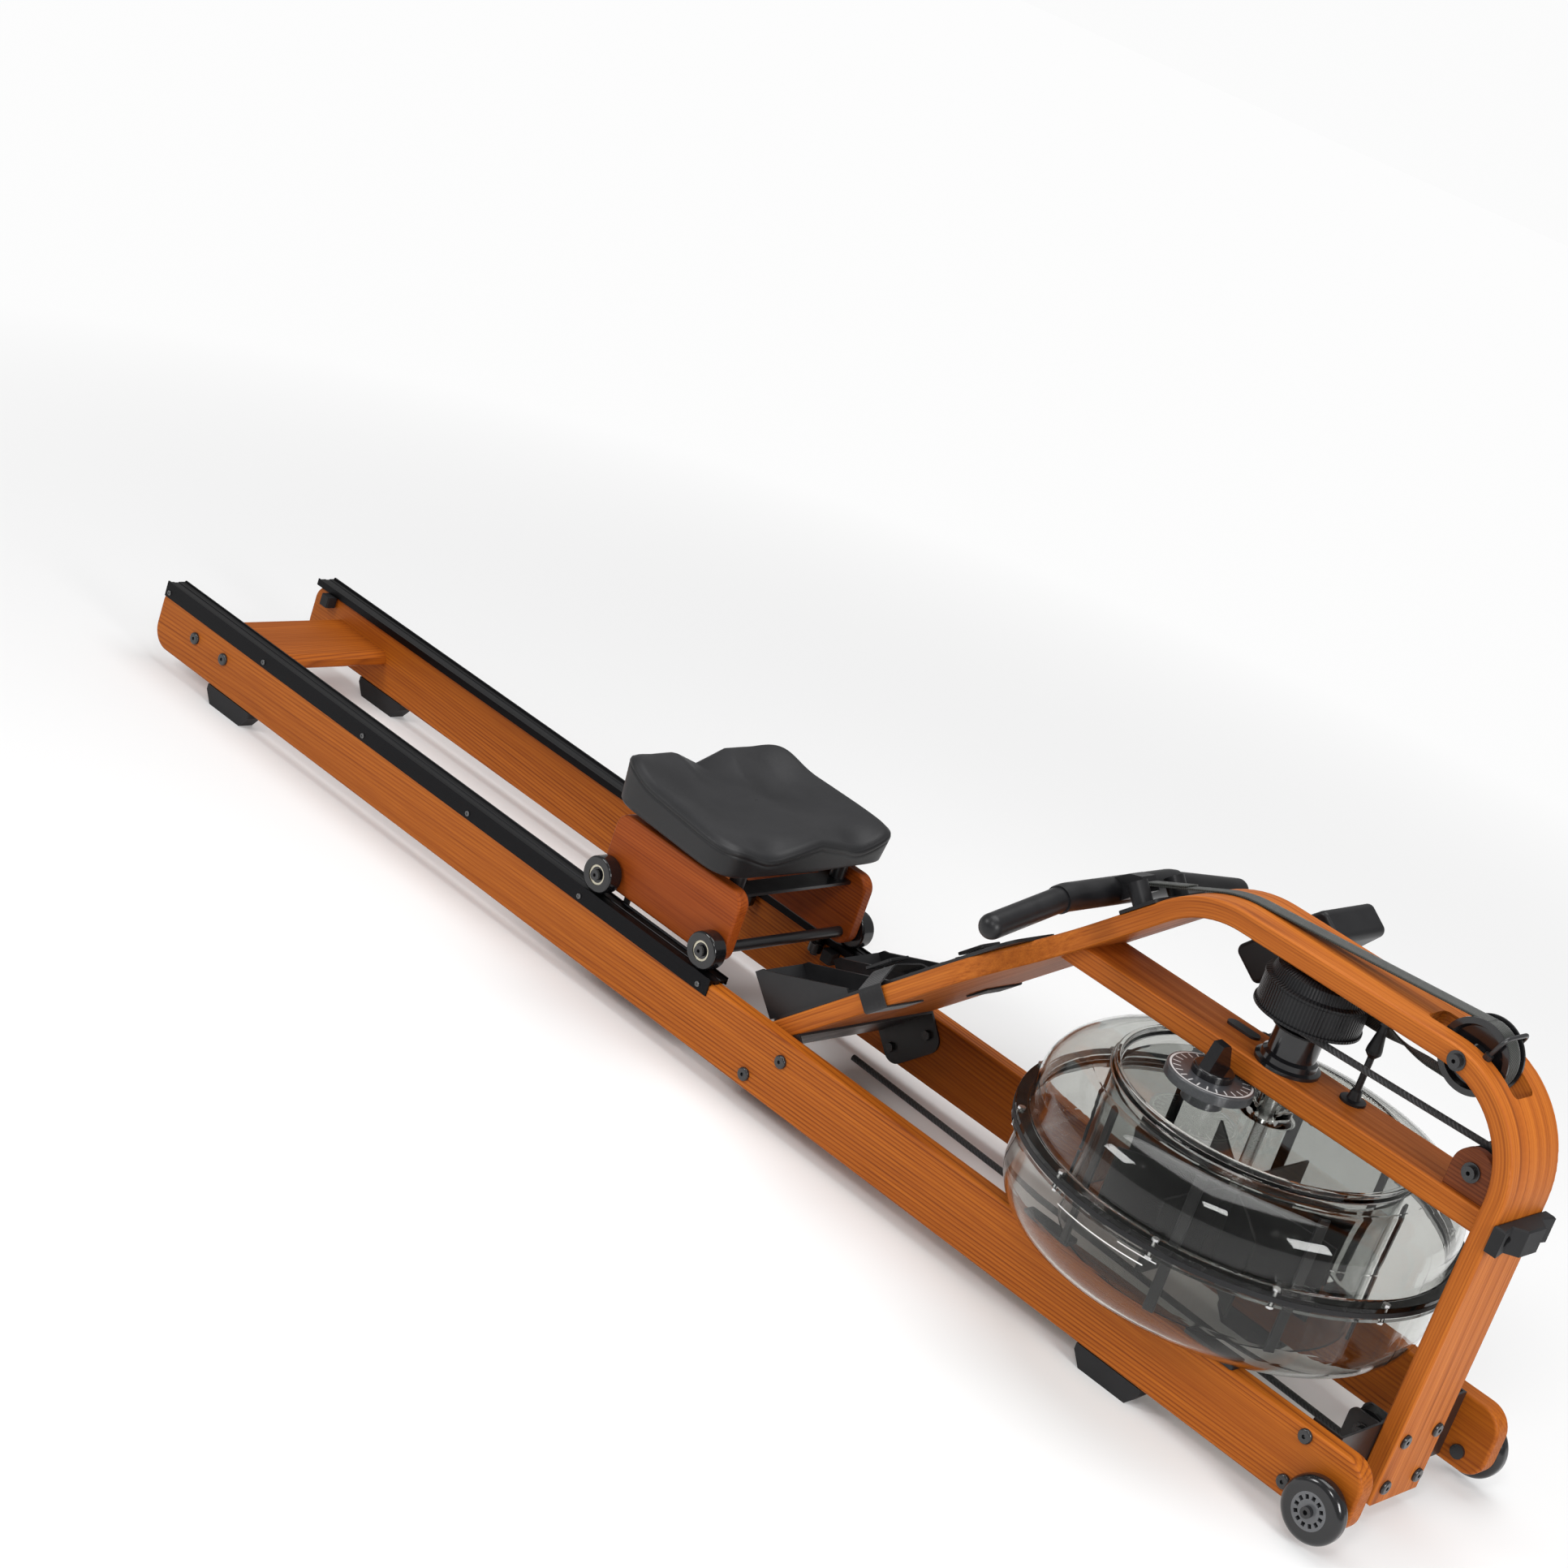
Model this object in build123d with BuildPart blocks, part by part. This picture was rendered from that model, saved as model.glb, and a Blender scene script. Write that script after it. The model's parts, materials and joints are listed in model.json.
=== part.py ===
from build123d import *
from math import asin, atan2, cos, pi, radians, sin, tan
import os

# Wooden water rowing machine.
# +X points from the seat end to the water tank, +Y to the rower's left, +Z up.
# The origin is on the floor, under the middle of the machine. All sizes are in millimetres.

os.makedirs("parts", exist_ok=True)

# ---------------------------------------------------------------- driving dimensions
# side rails
RAIL_REAR, RAIL_FRONT = -1072.0, 1068.0
RAIL_BOTTOM, RAIL_TOP = 25.0, 111.0
RAIL_IN, RAIL_OUT = 125.0, 150.0
RAIL_THICK = RAIL_OUT - RAIL_IN
RAIL_MID = (RAIL_IN + RAIL_OUT) / 2
# tracks on the rails
TRACK_REAR, TRACK_FRONT = -1069.0, 57.0
TRACK_RUN_Z = 117.0
TRACK_LIP = 119.5
TRACK_OUT = RAIL_OUT + 1.7
TRACK_SCREW_FIRST, TRACK_SCREW_STEP, TRACK_SCREW_COUNT = -1060.0, 220.0, 6
TRACK_SCREW_Z = 104.5
# bent board: footboard, level top run and front post
BOARD_THICK = 24.0
BOARD_HALF = 49.0
FOOTBOARD_ANGLE = 43.5
FOOTBOARD_LENGTH = 652.0
FOOTBOARD_HALF = 124.7
TAPER_START, TAPER_END = 347.0, 466.0
BEND_REAR = (577.0, 520.0)
BEND_FRONT = (1039.0, 520.0)
BEND_REAR_R, BEND_FRONT_R = 150.0, 130.0
POST_BOTTOM = 22.0
POST_INSIDE = BEND_FRONT[0] - BOARD_THICK
# tank board and tank
TANK_X = 725.0
TANK_BOARD_BOTTOM, TANK_BOARD_TOP = 348.0, 375.0
TANK_BOARD_HALF = 39.0
TANK_FLOOR = 116.0
TANK_R = 250.0
TANK_WALL = 4.0
FLANGE_R = 262.0
FLANGE_THICK = 6.0
GASKET_LOW = 225.0
GASKET_HIGH = GASKET_LOW + FLANGE_THICK
TANK_SCREW_RING, TANK_SCREW_COUNT = 257.0, 12
TANK_LID_Z = 312.0
RIDGE_R, RIDGE_Z = 174.0, 322.0
INNER_TANK_R = 172.0
SHAFT_R = 8.0
# drive
DRUM_R = 60.0
DRUM_BOTTOM, DRUM_TOP = 440.0, 492.0
STRAP_Z = 455.0
STRAP_WIDTH, STRAP_THICK = 28.0, 2.0
PULLEY_X, PULLEY_Z = 927.0, 506.0
PULLEY_R, PULLEY_FLOOR = 42.0, 37.0
SPOOL_Z, SPOOL_FLOOR = 430.0, 25.0
CORD_R = 4.0
EAR_X, EAR_Z = 983.0, 401.5
LOWER_Z = 70.0
CORD_PULLEY_R, CORD_PULLEY_FLOOR = 25.0, 19.0
CORD_RUN_R = 24.0
AXLE_R = 5.0
RUN_CLEAR = 0.05
# seat
SEAT_X = -71.0
SEAT_WHEEL_STEP = 96.0
SEAT_WHEEL_R = 24.0
SEAT_WHEEL_Z = TRACK_RUN_Z + SEAT_WHEEL_R + 0.2
GUIDE_STEP = 64.0
GUIDE_R = 10.0
GUIDE_Y = RAIL_IN - GUIDE_R - 0.3
CARRIAGE_IN, CARRIAGE_OUT = 106.0, 124.0
CARRIAGE_LOW, CARRIAGE_HIGH = 125.0, 222.0
PAD_LOW, PAD_HIGH = 238.0, 288.0
# handle, seen on the footboard: distance up the slope and height above its face
HANDLE_ALONG, HANDLE_ABOVE = 501.0, 32.0
HANDLE_BEND_Y, HANDLE_END_Y = 98.0, 232.0
HANDLE_END_ALONG, HANDLE_END_ABOVE = 498.0, 12.5
HANDLE_BAR_R, HANDLE_GRIP_R, HANDLE_CORE_R = 16.5, 14.7, 8.0
YOKE_ALONG = 548.0
CRADLE_ALONG, CRADLE_Y = 556.0, 35.0
# monitor
MONITOR_Y0, MONITOR_Y1 = 68.0, 168.0
MONITOR_HINGE = (666.0, 118.0, 438.0)
# resistance dial
DIAL_X, DIAL_Y, DIAL_TOP = 680.0, -65.0, 345.0
# transport wheels
WHEEL_X, WHEEL_Z, WHEEL_R, WHEEL_WIDTH = 1034.0, 46.0, 38.0, 22.0
# fasteners
RAIL_BOLTS = [(-986, 70), (-920, 70), (149, 43), (194, 86), (985, 43), (987, 102)]
POST_BOLTS = [(-32, 43), (32, 43), (-32, 102), (32, 102)]
BOLT_R, BOLT_HOLE_R, BOLT_HEAD_R, BOLT_HEAD_H = 4.0, 4.1, 8.5, 4.0
SOCKET_R, SOCKET_DEPTH = 2.6, 2.2
PLATE = 3.0

SIDES = {"right": -1, "left": 1}

# ---------------------------------------------------------------- worked-out places
slope_cos, slope_sin = cos(radians(FOOTBOARD_ANGLE)), sin(radians(FOOTBOARD_ANGLE))
foot_low = (BEND_REAR[0] - FOOTBOARD_LENGTH * slope_cos, BEND_REAR[1] - FOOTBOARD_LENGTH * slope_sin)


def on_board(along, above, across=0.0):
    """A point on the footboard: distance up the slope from its low end, height above its face."""
    return Vector(foot_low[0] + along * slope_cos - above * slope_sin, across,
                  foot_low[1] + along * slope_sin + above * slope_cos)


def board_plane(above):
    """A plane parallel to the footboard: X up the slope, Y to the left, Z out of the face."""
    return Plane(origin=on_board(0, above), x_dir=(slope_cos, 0, slope_sin),
                 z_dir=(-slope_sin, 0, slope_cos))


def side_plane(across):
    """A vertical plane with X up the footboard's slope and Y out of its face; Z points to -Y."""
    return Plane(origin=on_board(0, 0, across), x_dir=(slope_cos, 0, slope_sin), z_dir=(0, -1, 0))


def meet(point_a, angle_a, point_b, angle_b):
    """Where two lines in the XZ plane meet, each given by a point and an angle in radians."""
    turn = sin(angle_b - angle_a)
    reach = ((point_b[0] - point_a[0]) * sin(angle_b) - (point_b[1] - point_a[1]) * cos(angle_b)) / turn
    return (point_a[0] + reach * cos(angle_a), point_a[1] + reach * sin(angle_a))


def over_tangent(centre_a, radius_a, centre_b, radius_b):
    """The angle of the line that lies on top of two circles, and where it leaves the second."""
    span_x, span_z = centre_b[0] - centre_a[0], centre_b[1] - centre_a[1]
    angle = atan2(span_z, span_x) + asin((radius_b - radius_a) / (span_x ** 2 + span_z ** 2) ** 0.5)
    return angle, (centre_b[0] - radius_b * sin(angle), centre_b[1] + radius_b * cos(angle))


def save(part, name):
    """Labels a finished piece and writes its STEP file."""
    part.label = name
    export_step(part, f"parts/{name}.step")


# ---------------------------------------------------------------- side rails
RAIL_ARRIS = 4
for side, sign in SIDES.items():
    rail_face = Plane.XZ.offset(-sign * RAIL_OUT)
    with BuildPart() as rail:
        with BuildSketch(rail_face):
            with BuildLine():
                FilletPolyline((RAIL_REAR, RAIL_BOTTOM), (RAIL_FRONT, RAIL_BOTTOM),
                               (RAIL_FRONT, RAIL_TOP), (RAIL_REAR, RAIL_TOP),
                               radius=[30, 26, 30, 22], close=True)
            make_face()
        extrude(amount=sign * RAIL_THICK)
        fillet(rail.edges().filter_by(Axis.Y, reverse=True), RAIL_ARRIS)
        with BuildSketch(rail_face):
            with Locations(*RAIL_BOLTS, (WHEEL_X, WHEEL_Z)):
                Circle(BOLT_HOLE_R)
        extrude(amount=sign * RAIL_THICK, mode=Mode.SUBTRACT)
    save(rail.part, f"{side}_rail")

# ---------------------------------------------------------------- tracks
TRACK_LIP_TOP, TRACK_LIP_LOW = 118.5, 109.0
TRACK_SKIRT_LOW = 97.0
TRACK_WEB = 114.0
track_profile = [(TRACK_LIP, TRACK_LIP_LOW), (TRACK_LIP, TRACK_LIP_TOP), (TRACK_LIP + 2, TRACK_LIP_TOP),
                 (TRACK_LIP + 3, TRACK_RUN_Z), (133, TRACK_RUN_Z), (133.6, TRACK_RUN_Z - 0.8),
                 (140.4, TRACK_RUN_Z - 0.8), (141, TRACK_RUN_Z), (TRACK_OUT - 3.2, TRACK_RUN_Z),
                 (TRACK_OUT - 2.2, TRACK_RUN_Z + 2), (TRACK_OUT, TRACK_RUN_Z + 2),
                 (TRACK_OUT, TRACK_SKIRT_LOW), (RAIL_OUT, TRACK_SKIRT_LOW), (RAIL_OUT, RAIL_TOP),
                 (147, RAIL_TOP), (147, TRACK_WEB), (141, TRACK_WEB), (141, RAIL_TOP), (134, RAIL_TOP),
                 (134, TRACK_WEB), (128, TRACK_WEB), (128, RAIL_TOP), (RAIL_IN, RAIL_TOP),
                 (RAIL_IN, TRACK_WEB), (TRACK_LIP + 1.6, TRACK_WEB), (TRACK_LIP + 1.6, TRACK_LIP_LOW)]
for side, sign in SIDES.items():
    with BuildPart() as track:
        with BuildSketch(Plane.YZ.offset(TRACK_REAR)):
            with BuildLine():
                Polyline(*[(sign * y, z) for y, z in track_profile], close=True)
            make_face()
        extrude(amount=TRACK_FRONT - TRACK_REAR)
    save(track.part, f"{side}_track")

SCREW_HEAD_R, SCREW_HEAD_H, CROSS_LENGTH, CROSS_WIDTH, CROSS_DEPTH = 3.6, 1.6, 4.2, 0.9, 0.9
track_screw_places = [(TRACK_SCREW_FIRST + i * TRACK_SCREW_STEP, TRACK_SCREW_Z)
                      for i in range(TRACK_SCREW_COUNT)]
with BuildPart() as track_screws:
    with BuildSketch(Plane.XZ.offset(TRACK_OUT)):
        with Locations(*track_screw_places):
            Circle(SCREW_HEAD_R)
    extrude(amount=SCREW_HEAD_H)
    chamfer(track_screws.faces().filter_by(Plane.XZ).group_by(Axis.Y)[0].edges(), 0.6)
    with BuildSketch(Plane.XZ.offset(TRACK_OUT + SCREW_HEAD_H)):
        with Locations(*track_screw_places):
            Rectangle(CROSS_LENGTH, CROSS_WIDTH)
            Rectangle(CROSS_WIDTH, CROSS_LENGTH)
    extrude(amount=-CROSS_DEPTH, mode=Mode.SUBTRACT)
    mirror(about=Plane.XZ)
save(track_screws.part, "track_screws")

# ---------------------------------------------------------------- rear cross board, feet, stop blocks
CROSS_X0, CROSS_X1, CROSS_Z0, CROSS_Z1 = -1009.0, -897.0, 59.0, 81.0
CROSS_BOLT_DEPTH = 30.0
with BuildPart() as cross_board:
    with BuildSketch(Plane.XZ.offset(-RAIL_IN)):
        with BuildLine():
            Polyline((CROSS_X0, CROSS_Z0), (CROSS_X1 - 8, CROSS_Z0), (CROSS_X1, CROSS_Z0 + 5),
                     (CROSS_X1, CROSS_Z1 - 7), (CROSS_X1 - 8, CROSS_Z1), (CROSS_X0, CROSS_Z1), close=True)
        make_face()
    extrude(amount=2 * RAIL_IN)
    for sign in SIDES.values():
        with BuildSketch(Plane.XZ.offset(-sign * RAIL_IN)):
            with Locations(*RAIL_BOLTS[:2]):
                Circle(BOLT_HOLE_R)
        extrude(amount=sign * CROSS_BOLT_DEPTH, mode=Mode.SUBTRACT)
save(cross_board.part, "rear_cross_board")

FOOT_CENTRES = [-890.0, 744.0]
FOOT_TOP, FOOT_SOLE, FOOT_WIDTH = 94.0, 68.0, 24.0
with BuildPart() as rubber_feet:
    with BuildSketch(Plane.XZ.offset(RAIL_MID - FOOT_WIDTH / 2)):
        for foot_x in FOOT_CENTRES:
            with BuildLine():
                Polyline((foot_x - FOOT_TOP / 2, RAIL_BOTTOM), (foot_x - FOOT_TOP / 2, RAIL_BOTTOM - 8),
                         (foot_x - FOOT_SOLE / 2, 0), (foot_x + FOOT_SOLE / 2, 0),
                         (foot_x + FOOT_TOP / 2, RAIL_BOTTOM - 8), (foot_x + FOOT_TOP / 2, RAIL_BOTTOM),
                         close=True)
            make_face()
    extrude(amount=FOOT_WIDTH)
    mirror(about=Plane.XZ)
save(rubber_feet.part, "rubber_feet")

STOP_XS, STOP_SIZE, STOP_Z0 = [18.0, -1033.0], 18.0, 92.0
with BuildPart() as track_stops:
    with BuildSketch(Plane.XY.offset(STOP_Z0)):
        for stop_x in STOP_XS:
            with Locations((stop_x, RAIL_IN - STOP_SIZE / 2), (stop_x, STOP_SIZE / 2 - RAIL_IN)):
                Rectangle(STOP_SIZE, STOP_SIZE)
    extrude(amount=16)
    chamfer(track_stops.edges().filter_by(Axis.Z), 2)
save(track_stops.part, "track_stops")

# ---------------------------------------------------------------- bent board
inner_low = (foot_low[0] + BOARD_THICK * slope_sin, foot_low[1] - BOARD_THICK * slope_cos)
inner_rear = (BEND_REAR[0] + BOARD_THICK * tan(radians(FOOTBOARD_ANGLE / 2)), BEND_REAR[1] - BOARD_THICK)
inner_front = (POST_INSIDE, BEND_FRONT[1] - BOARD_THICK)
SLOT_REAR, SLOT_FRONT, SLOT_HALF = 862.0, 990.0, 20.0
SLOT_LOW, SLOT_HIGH = 440.0, 530.0
with BuildPart() as bent_board:
    with BuildSketch(Plane.XZ.offset(-FOOTBOARD_HALF)):
        with BuildLine():
            FilletPolyline(foot_low, BEND_REAR, BEND_FRONT, (BEND_FRONT[0], POST_BOTTOM),
                           radius=[BEND_REAR_R, BEND_FRONT_R])
            Line((BEND_FRONT[0], POST_BOTTOM), (POST_INSIDE, POST_BOTTOM))
            FilletPolyline((POST_INSIDE, POST_BOTTOM), inner_front, inner_rear, inner_low,
                           radius=[BEND_FRONT_R - BOARD_THICK, BEND_REAR_R - BOARD_THICK])
            Line(inner_low, foot_low)
        make_face()
    extrude(amount=2 * FOOTBOARD_HALF)
    with BuildSketch(Plane.XY):
        with BuildLine():
            wide = Line((0, -FOOTBOARD_HALF), (TAPER_START, -FOOTBOARD_HALF))
            taper = Spline(wide @ 1, (TAPER_END, -BOARD_HALF), tangents=[(1, 0), (1, 0)])
            Line(taper @ 1, (BEND_FRONT[0] + 1, -BOARD_HALF))
            mirror(about=Plane.XZ)
            Line((0, -FOOTBOARD_HALF), (0, FOOTBOARD_HALF))
            Line((BEND_FRONT[0] + 1, -BOARD_HALF), (BEND_FRONT[0] + 1, BOARD_HALF))
        make_face()
    extrude(amount=BEND_FRONT[1] + 1, mode=Mode.INTERSECT)
    fillet(bent_board.edges().filter_by(Axis.Y, reverse=True), 3)
    with BuildSketch(Plane.XY.offset(SLOT_LOW)):
        with Locations(((SLOT_REAR + SLOT_FRONT) / 2, 0)):
            RectangleRounded(SLOT_FRONT - SLOT_REAR, 2 * SLOT_HALF, 7)
    extrude(amount=SLOT_HIGH - SLOT_LOW, mode=Mode.SUBTRACT)
    with BuildSketch(Plane.XZ.offset(-BOARD_HALF)):
        with Locations((PULLEY_X, PULLEY_Z)):
            Circle(AXLE_R + RUN_CLEAR)
    extrude(amount=2 * BOARD_HALF, mode=Mode.SUBTRACT)
    with BuildSketch(Plane.YZ.offset(POST_INSIDE)):
        with Locations(*POST_BOLTS):
            Circle(BOLT_HOLE_R)
    extrude(amount=BOARD_THICK, mode=Mode.SUBTRACT)
save(bent_board.part, "bent_board")


def under_board_x(z):
    """Where the footboard's underside is at a height."""
    return inner_low[0] + (z - inner_low[1]) / tan(radians(FOOTBOARD_ANGLE))


# ---------------------------------------------------------------- tank board
ROPE_SLOT_HALF, ROPE_SLOT_LENGTH = 8.0, 17.0
with BuildPart() as tank_board:
    with BuildSketch(Plane.XZ.offset(-TANK_BOARD_HALF)):
        with BuildLine():
            Polyline((under_board_x(TANK_BOARD_BOTTOM), TANK_BOARD_BOTTOM),
                     (under_board_x(TANK_BOARD_TOP), TANK_BOARD_TOP), (POST_INSIDE, TANK_BOARD_TOP),
                     (POST_INSIDE, TANK_BOARD_BOTTOM), close=True)
        make_face()
    extrude(amount=2 * TANK_BOARD_HALF)
    fillet(tank_board.edges().filter_by(Axis.X), 2.5)
    with BuildSketch(Plane.XY.offset(TANK_BOARD_BOTTOM)):
        with Locations((TANK_X, 0)):
            Circle(20)
        with Locations((POST_INSIDE - ROPE_SLOT_LENGTH / 2, 0)):
            Rectangle(ROPE_SLOT_LENGTH, 2 * ROPE_SLOT_HALF)
    extrude(amount=TANK_BOARD_TOP - TANK_BOARD_BOTTOM, mode=Mode.SUBTRACT)
save(tank_board.part, "tank_board")

# ---------------------------------------------------------------- steel brackets
FOOT_PLATE_LENGTH, FOOT_TAB_DROP, FOOT_TAB_CORNER = 91.0, 50.0, 18.0
BRACKET_OUT = RAIL_IN
under = -BOARD_THICK
with BuildPart() as foot_bracket:
    with BuildSketch(side_plane(BRACKET_OUT)):
        with BuildLine():
            Polyline((0, under), (FOOT_PLATE_LENGTH, under), (FOOT_PLATE_LENGTH, under - PLATE),
                     (0, under - PLATE), close=True)
        make_face()
    extrude(amount=2 * BRACKET_OUT)
    for tab_outside in (BRACKET_OUT, -BRACKET_OUT + PLATE):
        with BuildSketch(side_plane(tab_outside)) as tab:
            with BuildLine():
                Polyline((0, under - PLATE), (FOOT_PLATE_LENGTH, under - PLATE),
                         (FOOT_PLATE_LENGTH, under - FOOT_TAB_DROP), (0, under - FOOT_TAB_DROP), close=True)
            make_face()
            fillet(tab.vertices().group_by(Axis.Y)[0], FOOT_TAB_CORNER)
        extrude(amount=PLATE)
    with BuildSketch(Plane.XZ.offset(-BRACKET_OUT)):
        with Locations(*RAIL_BOLTS[2:4]):
            Circle(BOLT_HOLE_R)
    extrude(amount=2 * BRACKET_OUT, mode=Mode.SUBTRACT)
save(foot_bracket.part, "foot_bracket")

FRONT_TAB_REAR, FRONT_LOW, FRONT_HIGH = 968.0, 30.0, 112.0
CHEEK_REAR, CHEEK_LOW, CHEEK_HIGH, CHEEK_IN, CHEEK_OUT = 960.0, 50.0, 92.0, 12.0, 15.0
with BuildPart() as front_bracket:
    with BuildSketch(Plane.YZ.offset(POST_INSIDE - PLATE)):
        with Locations((0, (FRONT_LOW + FRONT_HIGH) / 2)):
            Rectangle(2 * BRACKET_OUT, FRONT_HIGH - FRONT_LOW)
        with Locations(*POST_BOLTS):
            Circle(BOLT_HOLE_R, mode=Mode.SUBTRACT)
    extrude(amount=PLATE)
    for tab_outside in (BRACKET_OUT, -BRACKET_OUT + PLATE):
        with BuildSketch(Plane.XZ.offset(-tab_outside)):
            with BuildLine():
                Polyline((FRONT_TAB_REAR, FRONT_LOW), (POST_INSIDE - PLATE, FRONT_LOW),
                         (POST_INSIDE - PLATE, FRONT_HIGH), (FRONT_TAB_REAR + 8, FRONT_HIGH), close=True)
            make_face()
            with Locations(*RAIL_BOLTS[4:6]):
                Circle(BOLT_HOLE_R, mode=Mode.SUBTRACT)
        extrude(amount=PLATE)
    for cheek_outside in (CHEEK_OUT, -CHEEK_IN):
        with BuildSketch(Plane.XZ.offset(-cheek_outside)):
            with BuildLine():
                FilletPolyline((POST_INSIDE - PLATE, CHEEK_LOW), (CHEEK_REAR, CHEEK_LOW),
                               (CHEEK_REAR, CHEEK_HIGH), (POST_INSIDE - PLATE, CHEEK_HIGH),
                               radius=[10, 10])
                Line((POST_INSIDE - PLATE, CHEEK_HIGH), (POST_INSIDE - PLATE, CHEEK_LOW))
            make_face()
            with Locations((EAR_X, LOWER_Z)):
                Circle(AXLE_R + RUN_CLEAR, mode=Mode.SUBTRACT)
        extrude(amount=PLATE)
save(front_bracket.part, "front_bracket")

# ---------------------------------------------------------------- frame bolts
NUT_R, NUT_H = 6.5, 5.0
with BuildPart() as frame_bolts:
    for sign in SIDES.values():
        with BuildSketch(Plane.XZ.offset(-sign * RAIL_OUT)):
            with Locations(*RAIL_BOLTS):
                Circle(BOLT_HEAD_R)
        extrude(amount=-sign * BOLT_HEAD_H)
    fillet(frame_bolts.faces().filter_by(Plane.XZ).group_by(Axis.Y)[0].edges(), 2.5)
    fillet(frame_bolts.faces().filter_by(Plane.XZ).group_by(Axis.Y)[-1].edges(), 2.5)
    for sign in SIDES.values():
        with BuildSketch(Plane.XZ.offset(-sign * RAIL_OUT)):
            with Locations(*RAIL_BOLTS):
                Circle(BOLT_R)
        extrude(amount=sign * (RAIL_THICK + PLATE))
        with BuildSketch(Plane.XZ.offset(-sign * (RAIL_IN - PLATE))):
            with Locations(*RAIL_BOLTS[2:]):
                RegularPolygon(NUT_R, 6)
        extrude(amount=sign * NUT_H)
        with BuildSketch(Plane.XZ.offset(-sign * (RAIL_OUT + BOLT_HEAD_H))):
            with Locations(*RAIL_BOLTS):
                RegularPolygon(SOCKET_R, 6)
        extrude(amount=sign * SOCKET_DEPTH, mode=Mode.SUBTRACT)
    with BuildSketch(Plane.YZ.offset(BEND_FRONT[0])):
        with Locations(*POST_BOLTS):
            Circle(BOLT_HEAD_R)
    extrude(amount=BOLT_HEAD_H)
    fillet(frame_bolts.faces().filter_by(Plane.YZ).group_by(Axis.X)[-1].edges(), 2.5)
    with BuildSketch(Plane.YZ.offset(BEND_FRONT[0] + BOLT_HEAD_H)):
        with Locations(*POST_BOLTS):
            RegularPolygon(SOCKET_R, 6)
    extrude(amount=-SOCKET_DEPTH, mode=Mode.SUBTRACT)
    with BuildSketch(Plane.YZ.offset(POST_INSIDE - PLATE)):
        with Locations(*POST_BOLTS):
            Circle(BOLT_R)
    extrude(amount=BOARD_THICK + PLATE)
    with BuildSketch(Plane.YZ.offset(POST_INSIDE - PLATE)):
        with Locations(*POST_BOLTS):
            RegularPolygon(NUT_R, 6)
    extrude(amount=-NUT_H)
save(frame_bolts.part, "frame_bolts")

# ---------------------------------------------------------------- ears of the cord pulley
EAR_HALF_LENGTH, EAR_IN, EAR_OUT = 26.0, 18.0, 30.0
with BuildPart() as pulley_ears:
    for ear_outside in (EAR_OUT, -EAR_IN):
        with BuildSketch(Plane.XZ.offset(-ear_outside)):
            with Locations((EAR_X, (TANK_BOARD_TOP + EAR_Z) / 2)):
                Rectangle(2 * EAR_HALF_LENGTH, EAR_Z - TANK_BOARD_TOP)
            with Locations((EAR_X, EAR_Z)):
                Circle(EAR_HALF_LENGTH)
                Circle(AXLE_R + RUN_CLEAR, mode=Mode.SUBTRACT)
        extrude(amount=EAR_OUT - EAR_IN)
    fillet(pulley_ears.edges().filter_by(GeomType.CIRCLE).sort_by(SortBy.RADIUS)[-4:], 1.5)
save(pulley_ears.part, "pulley_ears")

# ---------------------------------------------------------------- bumper on the post
BUMPER_Z, BUMPER_HEIGHT, BUMPER_HALF, BUMPER_DEPTH = 361.0, 31.0, 52.0, 24.0
BUMPER_EAR, BUMPER_VALLEY, BUMPER_SCREW_Y, BUMPER_BASE = 15.0, 11.0, 35.0, 6.0
with BuildPart() as post_bumper:
    with BuildSketch(Plane(origin=(BEND_FRONT[0], 0, BUMPER_Z - BUMPER_HEIGHT / 2))) as bumper_plan:
        with BuildLine():
            Polyline((0, -BUMPER_HALF), (BUMPER_EAR, -BUMPER_HALF), (BUMPER_VALLEY, -30),
                     (BUMPER_DEPTH, -18), (BUMPER_DEPTH, 18), (BUMPER_VALLEY, 30),
                     (BUMPER_EAR, BUMPER_HALF), (0, BUMPER_HALF), close=True)
        make_face()
        fillet(bumper_plan.vertices().group_by(Axis.X)[-1], 2.5)
    extrude(amount=BUMPER_HEIGHT)
    chamfer(post_bumper.faces().sort_by(Axis.Z)[-1].edges(), 2)
    with BuildSketch(Plane.YZ.offset(BEND_FRONT[0] + BUMPER_BASE)):
        with Locations((-BUMPER_SCREW_Y, BUMPER_Z), (BUMPER_SCREW_Y, BUMPER_Z)):
            Circle(6.5)
    extrude(amount=BUMPER_EAR, mode=Mode.SUBTRACT)
save(post_bumper.part, "post_bumper")

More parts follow.
